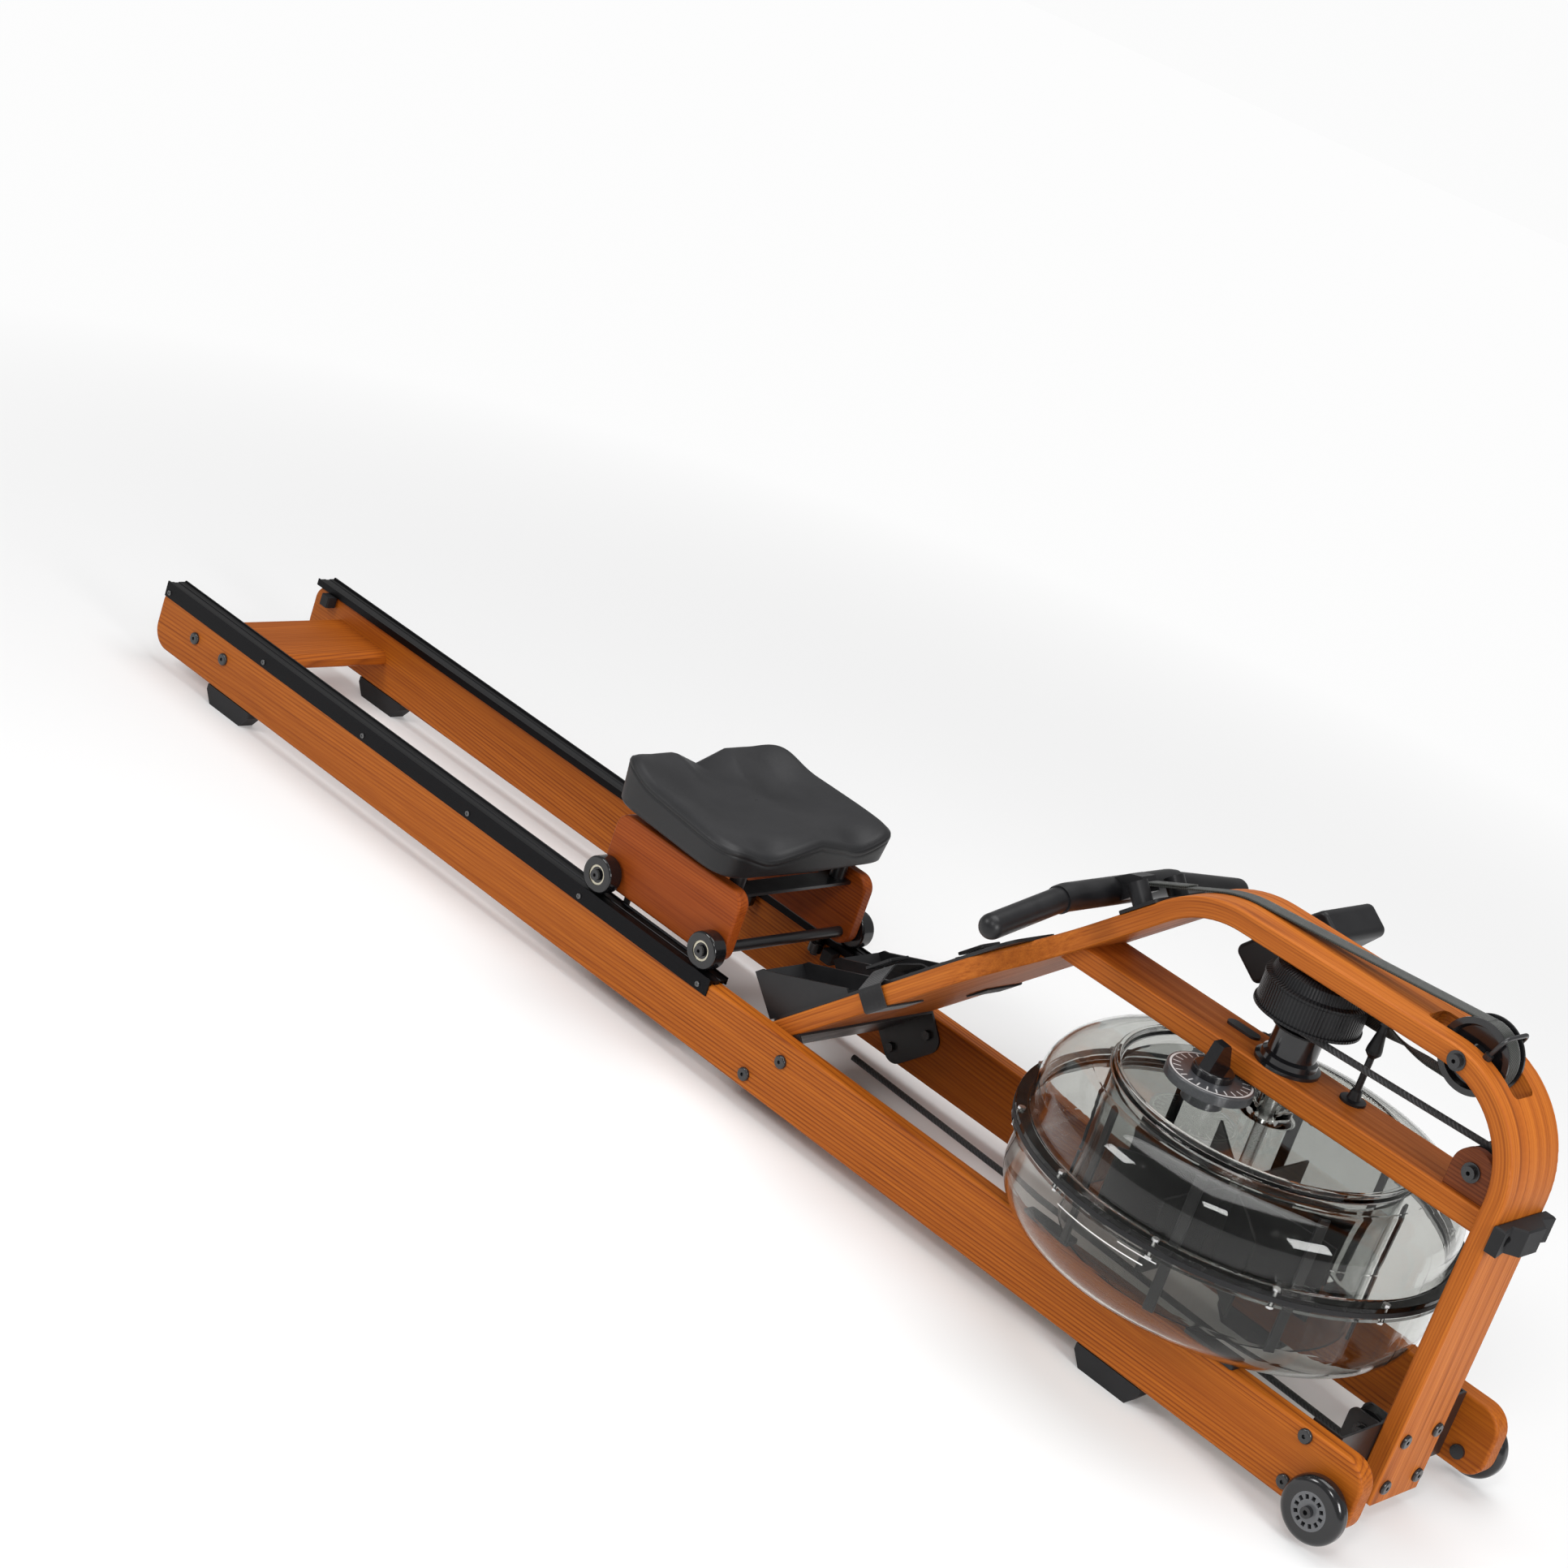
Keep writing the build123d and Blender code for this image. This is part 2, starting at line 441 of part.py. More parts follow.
# ---------------------------------------------------------------- tank
tank_plane = Plane(origin=(TANK_X, 0, 0), x_dir=(1, 0, 0), z_dir=(0, -1, 0))
tank_axis = Axis((TANK_X, 0, 0), (0, 0, 1))
LOWER_CORNER, TANK_HOLE_R = 50.0, 3.1
tank_in = TANK_R - TANK_WALL
floor_top = TANK_FLOOR + TANK_WALL
with BuildPart() as tank_lower:
    with BuildSketch(tank_plane):
        with BuildLine():
            FilletPolyline((0, TANK_FLOOR), (TANK_R, TANK_FLOOR), (TANK_R, GASKET_LOW - FLANGE_THICK),
                           (FLANGE_R, GASKET_LOW - FLANGE_THICK), (FLANGE_R, GASKET_LOW),
                           radius=[LOWER_CORNER, 1, 1])
            Line((FLANGE_R, GASKET_LOW), (tank_in, GASKET_LOW))
            FilletPolyline((tank_in, GASKET_LOW), (tank_in, floor_top), (0, floor_top),
                           radius=[LOWER_CORNER - TANK_WALL])
            Line((0, floor_top), (0, TANK_FLOOR))
        make_face()
    revolve(axis=tank_axis)
    with BuildSketch(Plane(origin=(TANK_X, 0, GASKET_LOW - FLANGE_THICK))):
        with PolarLocations(TANK_SCREW_RING, TANK_SCREW_COUNT, start_angle=15):
            Circle(TANK_HOLE_R)
    extrude(amount=FLANGE_THICK, mode=Mode.SUBTRACT)
save(tank_lower.part, "tank_lower_shell")

with BuildPart() as tank_gasket:
    with BuildSketch(Plane(origin=(TANK_X, 0, GASKET_LOW))):
        Circle(FLANGE_R + 0.5)
        Circle(tank_in, mode=Mode.SUBTRACT)
    extrude(amount=FLANGE_THICK)
    with BuildSketch(Plane(origin=(TANK_X, 0, GASKET_LOW))):
        with PolarLocations(TANK_SCREW_RING, TANK_SCREW_COUNT, start_angle=15):
            Circle(TANK_HOLE_R)
    extrude(amount=FLANGE_THICK, mode=Mode.SUBTRACT)
save(tank_gasket.part, "tank_gasket")

LID_CORNER, LID_LEAN, BOSS_R, BOSS_HOLE_R = 46.0, 4.0, 26.0, 12.0
lid_under = TANK_LID_Z - TANK_WALL
with BuildPart() as tank_upper:
    with BuildSketch(tank_plane):
        with BuildLine():
            FilletPolyline((FLANGE_R, GASKET_HIGH), (FLANGE_R, GASKET_HIGH + FLANGE_THICK),
                           (TANK_R - 2, GASKET_HIGH + FLANGE_THICK), (TANK_R - LID_LEAN, TANK_LID_Z),
                           (RIDGE_R + 5, TANK_LID_Z), (RIDGE_R + 3, RIDGE_Z), (RIDGE_R - 3, RIDGE_Z),
                           (RIDGE_R - 5, TANK_LID_Z), (BOSS_R, TANK_LID_Z), (BOSS_R, TANK_BOARD_BOTTOM),
                           radius=[1, 2, LID_CORNER, 2, 2, 2, 2, 8])
            Polyline((BOSS_R, TANK_BOARD_BOTTOM), (BOSS_HOLE_R, TANK_BOARD_BOTTOM),
                     (BOSS_HOLE_R, lid_under), (RIDGE_R, lid_under))
            FilletPolyline((RIDGE_R, lid_under), (TANK_R - LID_LEAN - TANK_WALL, lid_under),
                           (tank_in - 2, GASKET_HIGH), radius=[LID_CORNER - TANK_WALL])
            Line((tank_in - 2, GASKET_HIGH), (FLANGE_R, GASKET_HIGH))
        make_face()
    revolve(axis=tank_axis)
    with BuildSketch(Plane(origin=(TANK_X, 0, GASKET_HIGH))):
        with PolarLocations(TANK_SCREW_RING, TANK_SCREW_COUNT, start_angle=15):
            Circle(TANK_HOLE_R)
    extrude(amount=FLANGE_THICK, mode=Mode.SUBTRACT)
save(tank_upper.part, "tank_upper_shell")

TANK_SCREW_R, TANK_HEAD_R, TANK_HEAD_H = 3.0, 4.5, 3.0
FLANGE_LOW, FLANGE_TOP = GASKET_LOW - FLANGE_THICK, GASKET_HIGH + FLANGE_THICK
with BuildPart() as tank_screws:
    with BuildSketch(Plane(origin=(TANK_X, 0, FLANGE_LOW - TANK_HEAD_H))):
        with PolarLocations(TANK_SCREW_RING, TANK_SCREW_COUNT, start_angle=15):
            Circle(TANK_SCREW_R)
    extrude(amount=FLANGE_TOP - FLANGE_LOW + 2 * TANK_HEAD_H)
    for head_bottom in (FLANGE_LOW - TANK_HEAD_H, FLANGE_TOP):
        with BuildSketch(Plane(origin=(TANK_X, 0, head_bottom))):
            with PolarLocations(TANK_SCREW_RING, TANK_SCREW_COUNT, start_angle=15):
                RegularPolygon(TANK_HEAD_R, 6)
        extrude(amount=TANK_HEAD_H)
save(tank_screws.part, "tank_screws")

INNER_TANK_TOP = 296.0
with BuildPart() as inner_tank:
    with BuildSketch(Plane(origin=(TANK_X, 0, floor_top))):
        Circle(INNER_TANK_R)
        Circle(INNER_TANK_R - TANK_WALL, mode=Mode.SUBTRACT)
    extrude(amount=INNER_TANK_TOP - floor_top)
save(inner_tank.part, "inner_tank")

PAD_STEP, PAD_LENGTH, PAD_WIDTH = 120.0, 70.0, 22.0
with BuildPart() as tank_supports:
    with BuildSketch(Plane.XY.offset(RAIL_TOP)):
        with Locations((TANK_X, 0)):
            with GridLocations(2 * PAD_STEP, 2 * RAIL_MID, 2, 2):
                RectangleRounded(PAD_LENGTH, PAD_WIDTH, 3)
    extrude(amount=TANK_FLOOR - RAIL_TOP)
save(tank_supports.part, "tank_supports")

# ---------------------------------------------------------------- impeller
BLADE_COUNT, BLADE_R, BLADE_LOW, BLADE_HIGH, HUB_R = 8, 140.0, 132.0, 226.0, 22.0
with BuildPart() as impeller:
    with BuildSketch(Plane(origin=(TANK_X, 0, BLADE_LOW))):
        with PolarLocations(0, BLADE_COUNT):
            with Locations(((HUB_R + BLADE_R) / 2 - 3, 0)):
                Rectangle(BLADE_R - HUB_R + 6, 3)
        Circle(HUB_R)
        Circle(SHAFT_R, mode=Mode.SUBTRACT)
    extrude(amount=BLADE_HIGH - BLADE_LOW)
save(impeller.part, "impeller")

with BuildPart() as impeller_shaft:
    with BuildSketch(Plane(origin=(TANK_X, 0, BLADE_LOW - 4))):
        Circle(SHAFT_R)
    extrude(amount=DRUM_TOP + 2 - (BLADE_LOW - 4))
    chamfer(impeller_shaft.faces().filter_by(Axis.Z).edges(), 1)
save(impeller_shaft.part, "impeller_shaft")

# ---------------------------------------------------------------- bearing housing and strap drum
HOUSING_R, HOUSING_TOP = 28.0, 419.0
with BuildPart() as housing:
    with BuildSketch(tank_plane):
        with BuildLine():
            Polyline((SHAFT_R + RUN_CLEAR, TANK_BOARD_TOP), (38, TANK_BOARD_TOP), (38, TANK_BOARD_TOP + 4),
                     (33, TANK_BOARD_TOP + 6), (32, TANK_BOARD_TOP + 12), (HOUSING_R, TANK_BOARD_TOP + 15),
                     (HOUSING_R, HOUSING_TOP), (SHAFT_R + RUN_CLEAR, HOUSING_TOP), close=True)
        make_face()
    revolve(axis=tank_axis)
save(housing.part, "bearing_housing")

SPOOL_GAP, SPOOL_FLANGE_R, SPOOL_FLANGE = 7.0, 34.0, 2.0
COIL_TOP = STRAP_Z + STRAP_WIDTH / 2 + 1
with BuildPart() as drum:
    with BuildSketch(tank_plane):
        with BuildLine():
            Polyline((SHAFT_R + RUN_CLEAR, SPOOL_Z - SPOOL_GAP - SPOOL_FLANGE),
                     (SPOOL_FLANGE_R, SPOOL_Z - SPOOL_GAP - SPOOL_FLANGE),
                     (SPOOL_FLANGE_R, SPOOL_Z - SPOOL_GAP), (SPOOL_FLOOR, SPOOL_Z - SPOOL_GAP),
                     (SPOOL_FLOOR, SPOOL_Z + SPOOL_GAP), (DRUM_R + 2, SPOOL_Z + SPOOL_GAP),
                     (DRUM_R + 2, DRUM_BOTTOM), (DRUM_R, DRUM_BOTTOM + 0.5), (DRUM_R, COIL_TOP),
                     (DRUM_R + 1, COIL_TOP + 1), (DRUM_R + 1, COIL_TOP + 4), (DRUM_R - 5, COIL_TOP + 6),
                     (DRUM_R - 8, DRUM_TOP - 4), (DRUM_R - 14, DRUM_TOP), (36, DRUM_TOP),
                     (36, DRUM_TOP - 5), (SHAFT_R + RUN_CLEAR, DRUM_TOP - 5), close=True)
        make_face()
    revolve(axis=tank_axis)
save(drum.part, "strap_drum")

# ---------------------------------------------------------------- big pulley and the cord pulleys
PULLEY_HALF, CORD_PULLEY_HALF = 17.5, 9.0
STRAP_GROOVE = (PULLEY_R, PULLEY_FLOOR, PULLEY_HALF, PULLEY_HALF - 2.5, PULLEY_HALF - 3, 7.0)
CORD_GROOVE = (CORD_PULLEY_R, CORD_PULLEY_FLOOR, CORD_PULLEY_HALF, CORD_PULLEY_HALF - 0.8, 5.0, 2.0)
pulleys = {"top_pulley": (PULLEY_X, PULLEY_Z, STRAP_GROOVE), "ear_pulley": (EAR_X, EAR_Z, CORD_GROOVE),
           "lower_pulley": (EAR_X, LOWER_Z, CORD_GROOVE)}
for pulley_name, (centre_x, centre_z, groove) in pulleys.items():
    rim_r, floor_r, half_width, groove_rim, groove_floor, recess = groove
    with BuildPart() as pulley:
        with BuildSketch(Plane(origin=(centre_x, 0, centre_z), x_dir=(0, 1, 0), z_dir=(1, 0, 0))):
            with BuildLine():
                Polyline((0, AXLE_R + RUN_CLEAR), (half_width, AXLE_R + RUN_CLEAR), (half_width, 11),
                         (half_width - recess, 13), (half_width - recess, floor_r - 5),
                         (half_width, floor_r - 2), (half_width, rim_r), (groove_rim, rim_r),
                         (groove_floor, floor_r), (0, floor_r), close=True)
            make_face()
            mirror(about=Plane.YZ)
        revolve(axis=Axis((centre_x, 0, centre_z), (0, 1, 0)))
    save(pulley.part, pulley_name)

WASHER_R = 11.0
with BuildPart() as pulley_axles:
    for axle_x, axle_z, axle_half in ((PULLEY_X, PULLEY_Z, BOARD_HALF), (EAR_X, EAR_Z, EAR_OUT),
                                      (EAR_X, LOWER_Z, CHEEK_OUT)):
        with BuildSketch(Plane.XZ.offset(-axle_half)):
            with Locations((axle_x, axle_z)):
                Circle(AXLE_R)
        extrude(amount=2 * axle_half)
        with BuildSketch(Plane.XZ.offset(axle_half)):
            with Locations((axle_x, axle_z)):
                Circle(WASHER_R)
        extrude(amount=2)
        with BuildSketch(Plane.XZ.offset(axle_half + 2)):
            with Locations((axle_x, axle_z)):
                Circle(BOLT_HEAD_R - 1)
                RegularPolygon(SOCKET_R, 6, mode=Mode.SUBTRACT)
        extrude(amount=5)
        with BuildSketch(Plane.XZ.offset(-axle_half)):
            with Locations((axle_x, axle_z)):
                RegularPolygon(BOLT_HEAD_R, 6)
        extrude(amount=-NUT_H)
    for spacer_x, spacer_z, spacer_in, spacer_out in (
            (PULLEY_X, PULLEY_Z, PULLEY_HALF + 0.3, SLOT_HALF),
            (EAR_X, EAR_Z, CORD_PULLEY_HALF + 0.3, EAR_IN),
            (EAR_X, LOWER_Z, CORD_PULLEY_HALF + 0.3, CHEEK_IN)):
        for spacer_side in (spacer_out, -spacer_in):
            with BuildSketch(Plane.XZ.offset(-spacer_side)):
                with Locations((spacer_x, spacer_z)):
                    Circle(AXLE_R + 3)
            extrude(amount=spacer_out - spacer_in)
save(pulley_axles.part, "pulley_axles")

# wire guard over the strap, with its two feet in the board, and the strap scraper under the pulley
GUARD_R, GUARD_HALF, GUARD_EYE_R, GUARD_EYE_H = 2.5, 24.0, 5.0, 6.0
GUARD_LEAN = radians(16)
front_bend_centre = (BEND_FRONT[0] - BEND_FRONT_R, BEND_FRONT[1] - BEND_FRONT_R)


def off_bend(height, lean):
    """A point over the front bend of the board: height above its face, lean from upright."""
    reach = BEND_FRONT_R + height
    return (front_bend_centre[0] + reach * sin(lean), front_bend_centre[1] + reach * cos(lean))


guard_foot = off_bend(1, GUARD_LEAN)
guard_top = off_bend(31, GUARD_LEAN + radians(1))
guard_route = [(guard_foot[0], -GUARD_HALF, guard_foot[1]), (guard_top[0], -GUARD_HALF, guard_top[1]),
               (guard_top[0], GUARD_HALF, guard_top[1]), (guard_foot[0], GUARD_HALF, guard_foot[1])]
with BuildPart() as pulley_guard:
    with BuildLine():
        guard_wire = FilletPolyline(*guard_route, radius=8)
    with BuildSketch(Plane(origin=guard_wire @ 0, z_dir=guard_wire % 0)):
        Circle(GUARD_R)
    sweep()
    for eye_y in (GUARD_HALF, -GUARD_HALF):
        eye = off_bend(0.2, GUARD_LEAN)
        with BuildSketch(Plane(origin=(eye[0], eye_y, eye[1]), z_dir=(sin(GUARD_LEAN), 0, cos(GUARD_LEAN)))):
            Circle(GUARD_EYE_R)
        extrude(amount=GUARD_EYE_H)
save(pulley_guard.part, "pulley_guard")

# ---------------------------------------------------------------- drive strap
RETURN_STRAIGHT = 46.0
rear_bend_centre = (BEND_REAR[0] + BEND_REAR_R * tan(radians(FOOTBOARD_ANGLE / 2)),
                    BEND_REAR[1] - BEND_REAR_R)
strap_bend_r = BEND_REAR_R + STRAP_THICK / 2 + 0.4
strap_start = on_board(YOKE_ALONG + 0.6, HANDLE_ABOVE - 6)
strap_start_xz = (strap_start.X, strap_start.Z)
pulley_centre = (PULLEY_X, PULLEY_Z)
pulley_run_r = PULLEY_FLOOR + STRAP_THICK / 2 + 0.3
rise_angle = over_tangent(strap_start_xz, 0, rear_bend_centre, strap_bend_r)[0]
level_angle, level_end = over_tangent(rear_bend_centre, strap_bend_r, pulley_centre, pulley_run_r)
strap_corner = meet(strap_start_xz, rise_angle, level_end, level_angle)
drum_run_r = DRUM_R + STRAP_THICK / 2 + 0.8
return_start = Vector(PULLEY_X - RETURN_STRAIGHT, 0, PULLEY_Z - pulley_run_r)
drum_reach = return_start.X - TANK_X
drum_angle = asin(drum_run_r / drum_reach)
drum_touch = Vector(TANK_X + drum_run_r * sin(drum_angle), drum_run_r * cos(drum_angle), STRAP_Z)
return_way = drum_touch - return_start
TWIST_STEPS = 4
with BuildPart() as drive_strap:
    with BuildSketch(Plane.XZ.offset(-STRAP_WIDTH / 2)):
        with BuildLine():
            FilletPolyline(strap_start_xz, strap_corner, level_end, radius=[strap_bend_r])
            ThreePointArc(level_end, (PULLEY_X + pulley_run_r, PULLEY_Z), (PULLEY_X, return_start.Z))
            Line((PULLEY_X, return_start.Z), (return_start.X, return_start.Z))
        trace(line_width=STRAP_THICK)
    extrude(amount=STRAP_WIDTH)
with BuildPart() as strap_return:
    for step in range(TWIST_STEPS + 1):
        twist = step / TWIST_STEPS
        across = Vector(0, 0, 1).cross(return_way).normalized()
        section_plane = Plane(origin=return_start + return_way * twist, x_dir=across, z_dir=return_way)
        with BuildSketch(section_plane):
            Rectangle(STRAP_WIDTH, STRAP_THICK, rotation=90 * twist)
    loft(ruled=True)
whole_strap = Compound(children=[drive_strap.part.solid(), strap_return.part.solid()])
save(whole_strap, "drive_strap")
strap_length = (drive_strap.part.volume + strap_return.part.volume) / (STRAP_WIDTH * STRAP_THICK)
print("strap length", round(strap_length))

GUIDE_POST_X, GUIDE_POST_Y, GUIDE_POST_TOP = 807.0, 14.0, 470.0
with BuildPart() as strap_guide:
    with BuildSketch(Plane(origin=(GUIDE_POST_X, GUIDE_POST_Y, 0), x_dir=(1, 0, 0), z_dir=(0, -1, 0))):
        with BuildLine():
            Polyline((0, TANK_BOARD_TOP), (15, TANK_BOARD_TOP), (15, TANK_BOARD_TOP + 3),
                     (8, TANK_BOARD_TOP + 4), (6, TANK_BOARD_TOP + 14), (4, TANK_BOARD_TOP + 16), (4, 430),
                     (9, 436), (9, 440), (5, 462), (5, GUIDE_POST_TOP), (0, GUIDE_POST_TOP), close=True)
        make_face()
    revolve(axis=Axis((GUIDE_POST_X, GUIDE_POST_Y, 0), (0, 0, 1)))
save(strap_guide.part, "strap_guide")

# ---------------------------------------------------------------- bungee cord
spool_run_r = SPOOL_FLOOR + CORD_R + 0.5
cord_front = EAR_X + CORD_RUN_R
spool_angle = asin(spool_run_r / (cord_front - TANK_X))
spool_back = TANK_X - spool_run_r
turn_y = spool_run_r * tan(radians(45) + spool_angle / 2)
ANCHOR_X, ANCHOR_Z = 185.0, 66.0
bungee_route = [(TANK_X + 8, spool_run_r, SPOOL_Z), (spool_back, spool_run_r, SPOOL_Z),
                (spool_back, -turn_y, SPOOL_Z), (cord_front, 0, EAR_Z + CORD_RUN_R),
                (cord_front, 0, LOWER_Z - CORD_RUN_R), (ANCHOR_X, 0, ANCHOR_Z)]
bungee_radii = [spool_run_r - 0.5, spool_run_r - 0.5, CORD_RUN_R, CORD_RUN_R]
with BuildPart() as bungee:
    with BuildLine():
        bungee_line = FilletPolyline(*bungee_route, radius=bungee_radii)
    with BuildSketch(Plane(origin=bungee_line @ 0, z_dir=bungee_line % 0)):
        Circle(CORD_R)
    sweep()
save(bungee.part, "bungee_cord")
print("bungee length", round(bungee_line.length), "radii", bungee_radii,
      "volume ratio", round(bungee.part.volume / (bungee_line.length * pi * CORD_R ** 2), 4))

# ---------------------------------------------------------------- handle and its cradle
bend_right = on_board(HANDLE_ALONG, HANDLE_ABOVE, -HANDLE_BEND_Y)
bend_left = on_board(HANDLE_ALONG, HANDLE_ABOVE, HANDLE_BEND_Y)
end_right = on_board(HANDLE_END_ALONG, HANDLE_END_ABOVE, -HANDLE_END_Y)
end_left = on_board(HANDLE_END_ALONG, HANDLE_END_ABOVE, HANDLE_END_Y)
GRIP_START, BEND_SWEEP_R = 12.0, 55.0
grip_right, grip_left = (end_right - bend_right).normalized(), (end_left - bend_left).normalized()
seam_right, seam_left = bend_right + grip_right * GRIP_START, bend_left + grip_left * GRIP_START
with BuildPart() as handle_bar:
    with BuildLine():
        bar_line = FilletPolyline(seam_right, bend_right, bend_left, seam_left, radius=BEND_SWEEP_R)
    with BuildSketch(Plane(origin=bar_line @ 0, z_dir=bar_line % 0)):
        Circle(HANDLE_BAR_R)
    sweep()
    for seam, grip_way, grip_end in ((seam_right, grip_right, end_right), (seam_left, grip_left, end_left)):
        with BuildSketch(Plane(origin=seam, z_dir=grip_way)):
            Circle(HANDLE_CORE_R)
        extrude(amount=(grip_end - seam).length - 10)
    with BuildSketch(side_plane(13)):
        with BuildLine():
            Polyline((HANDLE_ALONG, HANDLE_ABOVE - 14), (YOKE_ALONG, HANDLE_ABOVE - 14),
                     (YOKE_ALONG, HANDLE_ABOVE + 4), (YOKE_ALONG - 16, HANDLE_ABOVE + 12),
                     (HANDLE_ALONG, HANDLE_ABOVE + 14), close=True)
        make_face()
    extrude(amount=26)
save(handle_bar.part, "handle_bar")

with BuildPart() as handle_grips:
    for seam, grip_way, grip_end in ((seam_right, grip_right, end_right), (seam_left, grip_left, end_left)):
        with BuildSketch(Plane(origin=seam, z_dir=grip_way)):
            Circle(HANDLE_GRIP_R)
        extrude(amount=(grip_end - seam).length + HANDLE_GRIP_R)
    fillet(handle_grips.edges().filter_by(GeomType.CIRCLE).group_by(Axis.Y)[0], HANDLE_GRIP_R - 1)
    fillet(handle_grips.edges().filter_by(GeomType.CIRCLE).group_by(Axis.Y)[-1], HANDLE_GRIP_R - 1)
    for seam, grip_way, grip_end in ((seam_right, grip_right, end_right), (seam_left, grip_left, end_left)):
        with BuildSketch(Plane(origin=seam, z_dir=grip_way)):
            Circle(HANDLE_CORE_R)
        extrude(amount=(grip_end - seam).length - 10, mode=Mode.SUBTRACT)
save(handle_grips.part, "handle_grips")

CRADLE_REAR, CRADLE_FRONT, CRADLE_HALF, CRADLE_POST_R, CRADLE_POST_H = 528.0, 586.0, 50.0, 12.0, 30.0
with BuildPart() as handle_cradle:
    with BuildSketch(board_plane(0)):
        with Locations(((CRADLE_REAR + CRADLE_FRONT) / 2, 0)):
            RectangleRounded(CRADLE_FRONT - CRADLE_REAR, 2 * CRADLE_HALF, 8)
    extrude(amount=4)
    with BuildSketch(board_plane(4)):
        with Locations((CRADLE_ALONG, CRADLE_Y), (CRADLE_ALONG, -CRADLE_Y)):
            Circle(CRADLE_POST_R)
    extrude(amount=CRADLE_POST_H - 4)
save(handle_cradle.part, "handle_cradle")

# ---------------------------------------------------------------- monitor and its arm
SCREEN_LOW, SCREEN_HIGH = (572.0, 429.0), (659.0, 525.0)
BACK_HIGH, BACK_LOW = (693.0, 503.0), (614.0, 402.0)
LUG_IN, LUG_OUT, LUG_R, PIN_R = 7.0, 11.0, 8.0, 3.0
hinge_xz = (MONITOR_HINGE[0], MONITOR_HINGE[2])
with BuildPart() as monitor_body:
    with BuildSketch(Plane.XZ.offset(-MONITOR_Y1)) as monitor_side:
        with BuildLine():
            Polyline(SCREEN_LOW, SCREEN_HIGH, BACK_HIGH, BACK_LOW, close=True)
        make_face()
        fillet(monitor_side.vertices(), 9)
    extrude(amount=MONITOR_Y1 - MONITOR_Y0)
    fillet(monitor_body.faces().filter_by(Axis.Y).edges(), 5)
    for lug_outside in (MONITOR_HINGE[1] + LUG_OUT, MONITOR_HINGE[1] - LUG_IN):
        with BuildSketch(Plane.XZ.offset(-lug_outside)):
            with Locations(hinge_xz):
                Circle(LUG_R)
            with BuildLine():
                Polyline((hinge_xz[0] - 5, hinge_xz[1] - 7), (hinge_xz[0] + 5, hinge_xz[1] + 7),
                         (hinge_xz[0] - 6, hinge_xz[1] + 22), (hinge_xz[0] - 20, hinge_xz[1] + 4),
                         close=True)
            make_face()
            with Locations(hinge_xz):
                Circle(PIN_R + RUN_CLEAR, mode=Mode.SUBTRACT)
        extrude(amount=LUG_OUT - LUG_IN)
save(monitor_body.part, "monitor_body")

screen_way = Vector(SCREEN_HIGH[0] - SCREEN_LOW[0], 0, SCREEN_HIGH[1] - SCREEN_LOW[1]).normalized()
screen_out = Vector(-screen_way.Z, 0, screen_way.X)
screen_mid = Vector((SCREEN_LOW[0] + SCREEN_HIGH[0]) / 2, (MONITOR_Y0 + MONITOR_Y1) / 2,
                    (SCREEN_LOW[1] + SCREEN_HIGH[1]) / 2)
with BuildPart() as monitor_screen:
    with BuildSketch(Plane(origin=screen_mid, x_dir=screen_way, z_dir=screen_out)):
        RectangleRounded(96, 80, 5)
    extrude(amount=1.2)
save(monitor_screen.part, "monitor_screen")

ARM_R, ARM_X, ARM_Z = 9.0, 666.0, 362.0
with BuildPart() as monitor_arm:
    with BuildLine():
        arm_line = FilletPolyline((ARM_X, TANK_BOARD_HALF, ARM_Z), (ARM_X, MONITOR_HINGE[1], ARM_Z),
                                  (ARM_X, MONITOR_HINGE[1], MONITOR_HINGE[2] - 14), radius=24)
    with BuildSketch(Plane(origin=arm_line @ 0, z_dir=arm_line % 0)):
        Circle(ARM_R)
    sweep()
    with BuildSketch(Plane.XZ.offset(-TANK_BOARD_HALF - 4)):
        with Locations((ARM_X, ARM_Z)):
            Circle(12.5)
    extrude(amount=4)
    with BuildSketch(Plane.XZ.offset(-MONITOR_HINGE[1] - LUG_IN + 0.3)):
        with Locations(hinge_xz):
            Circle(LUG_R)
        with Locations((hinge_xz[0], hinge_xz[1] - 9)):
            Rectangle(13, 18)
    extrude(amount=2 * LUG_IN - 0.6)
    with BuildSketch(Plane.XZ.offset(-MONITOR_HINGE[1] - LUG_OUT - 2)):
        with Locations(hinge_xz):
            Circle(PIN_R)
    extrude(amount=2 * LUG_OUT + 4)
    with BuildSketch(Plane.XY.offset(TANK_BOARD_TOP)):
        with Locations((ARM_X - 12, 12)):
            SlotOverall(44, 16)
    extrude(amount=3)
save(monitor_arm.part, "monitor_arm")

# ---------------------------------------------------------------- resistance dial
DIAL_R, DIAL_THICK, DIAL_STEM_R, KNOB_R = 51.0, 12.0, 24.0, 24.0
with BuildPart() as dial_plate:
    with BuildSketch(Plane(origin=(DIAL_X, DIAL_Y, TANK_LID_Z))):
        Circle(DIAL_STEM_R)
    extrude(amount=DIAL_TOP - DIAL_THICK - TANK_LID_Z)
    with BuildSketch(Plane(origin=(DIAL_X, DIAL_Y, DIAL_TOP - DIAL_THICK))):
        Circle(DIAL_R)
    extrude(amount=DIAL_THICK)
    fillet(dial_plate.edges().filter_by(GeomType.CIRCLE).group_by(Axis.Z)[-1], 2)
    with BuildSketch(Plane(origin=(DIAL_X, DIAL_Y, DIAL_TOP))):
        Circle(4.05)
    extrude(amount=-DIAL_THICK, mode=Mode.SUBTRACT)
save(dial_plate.part, "dial_plate")

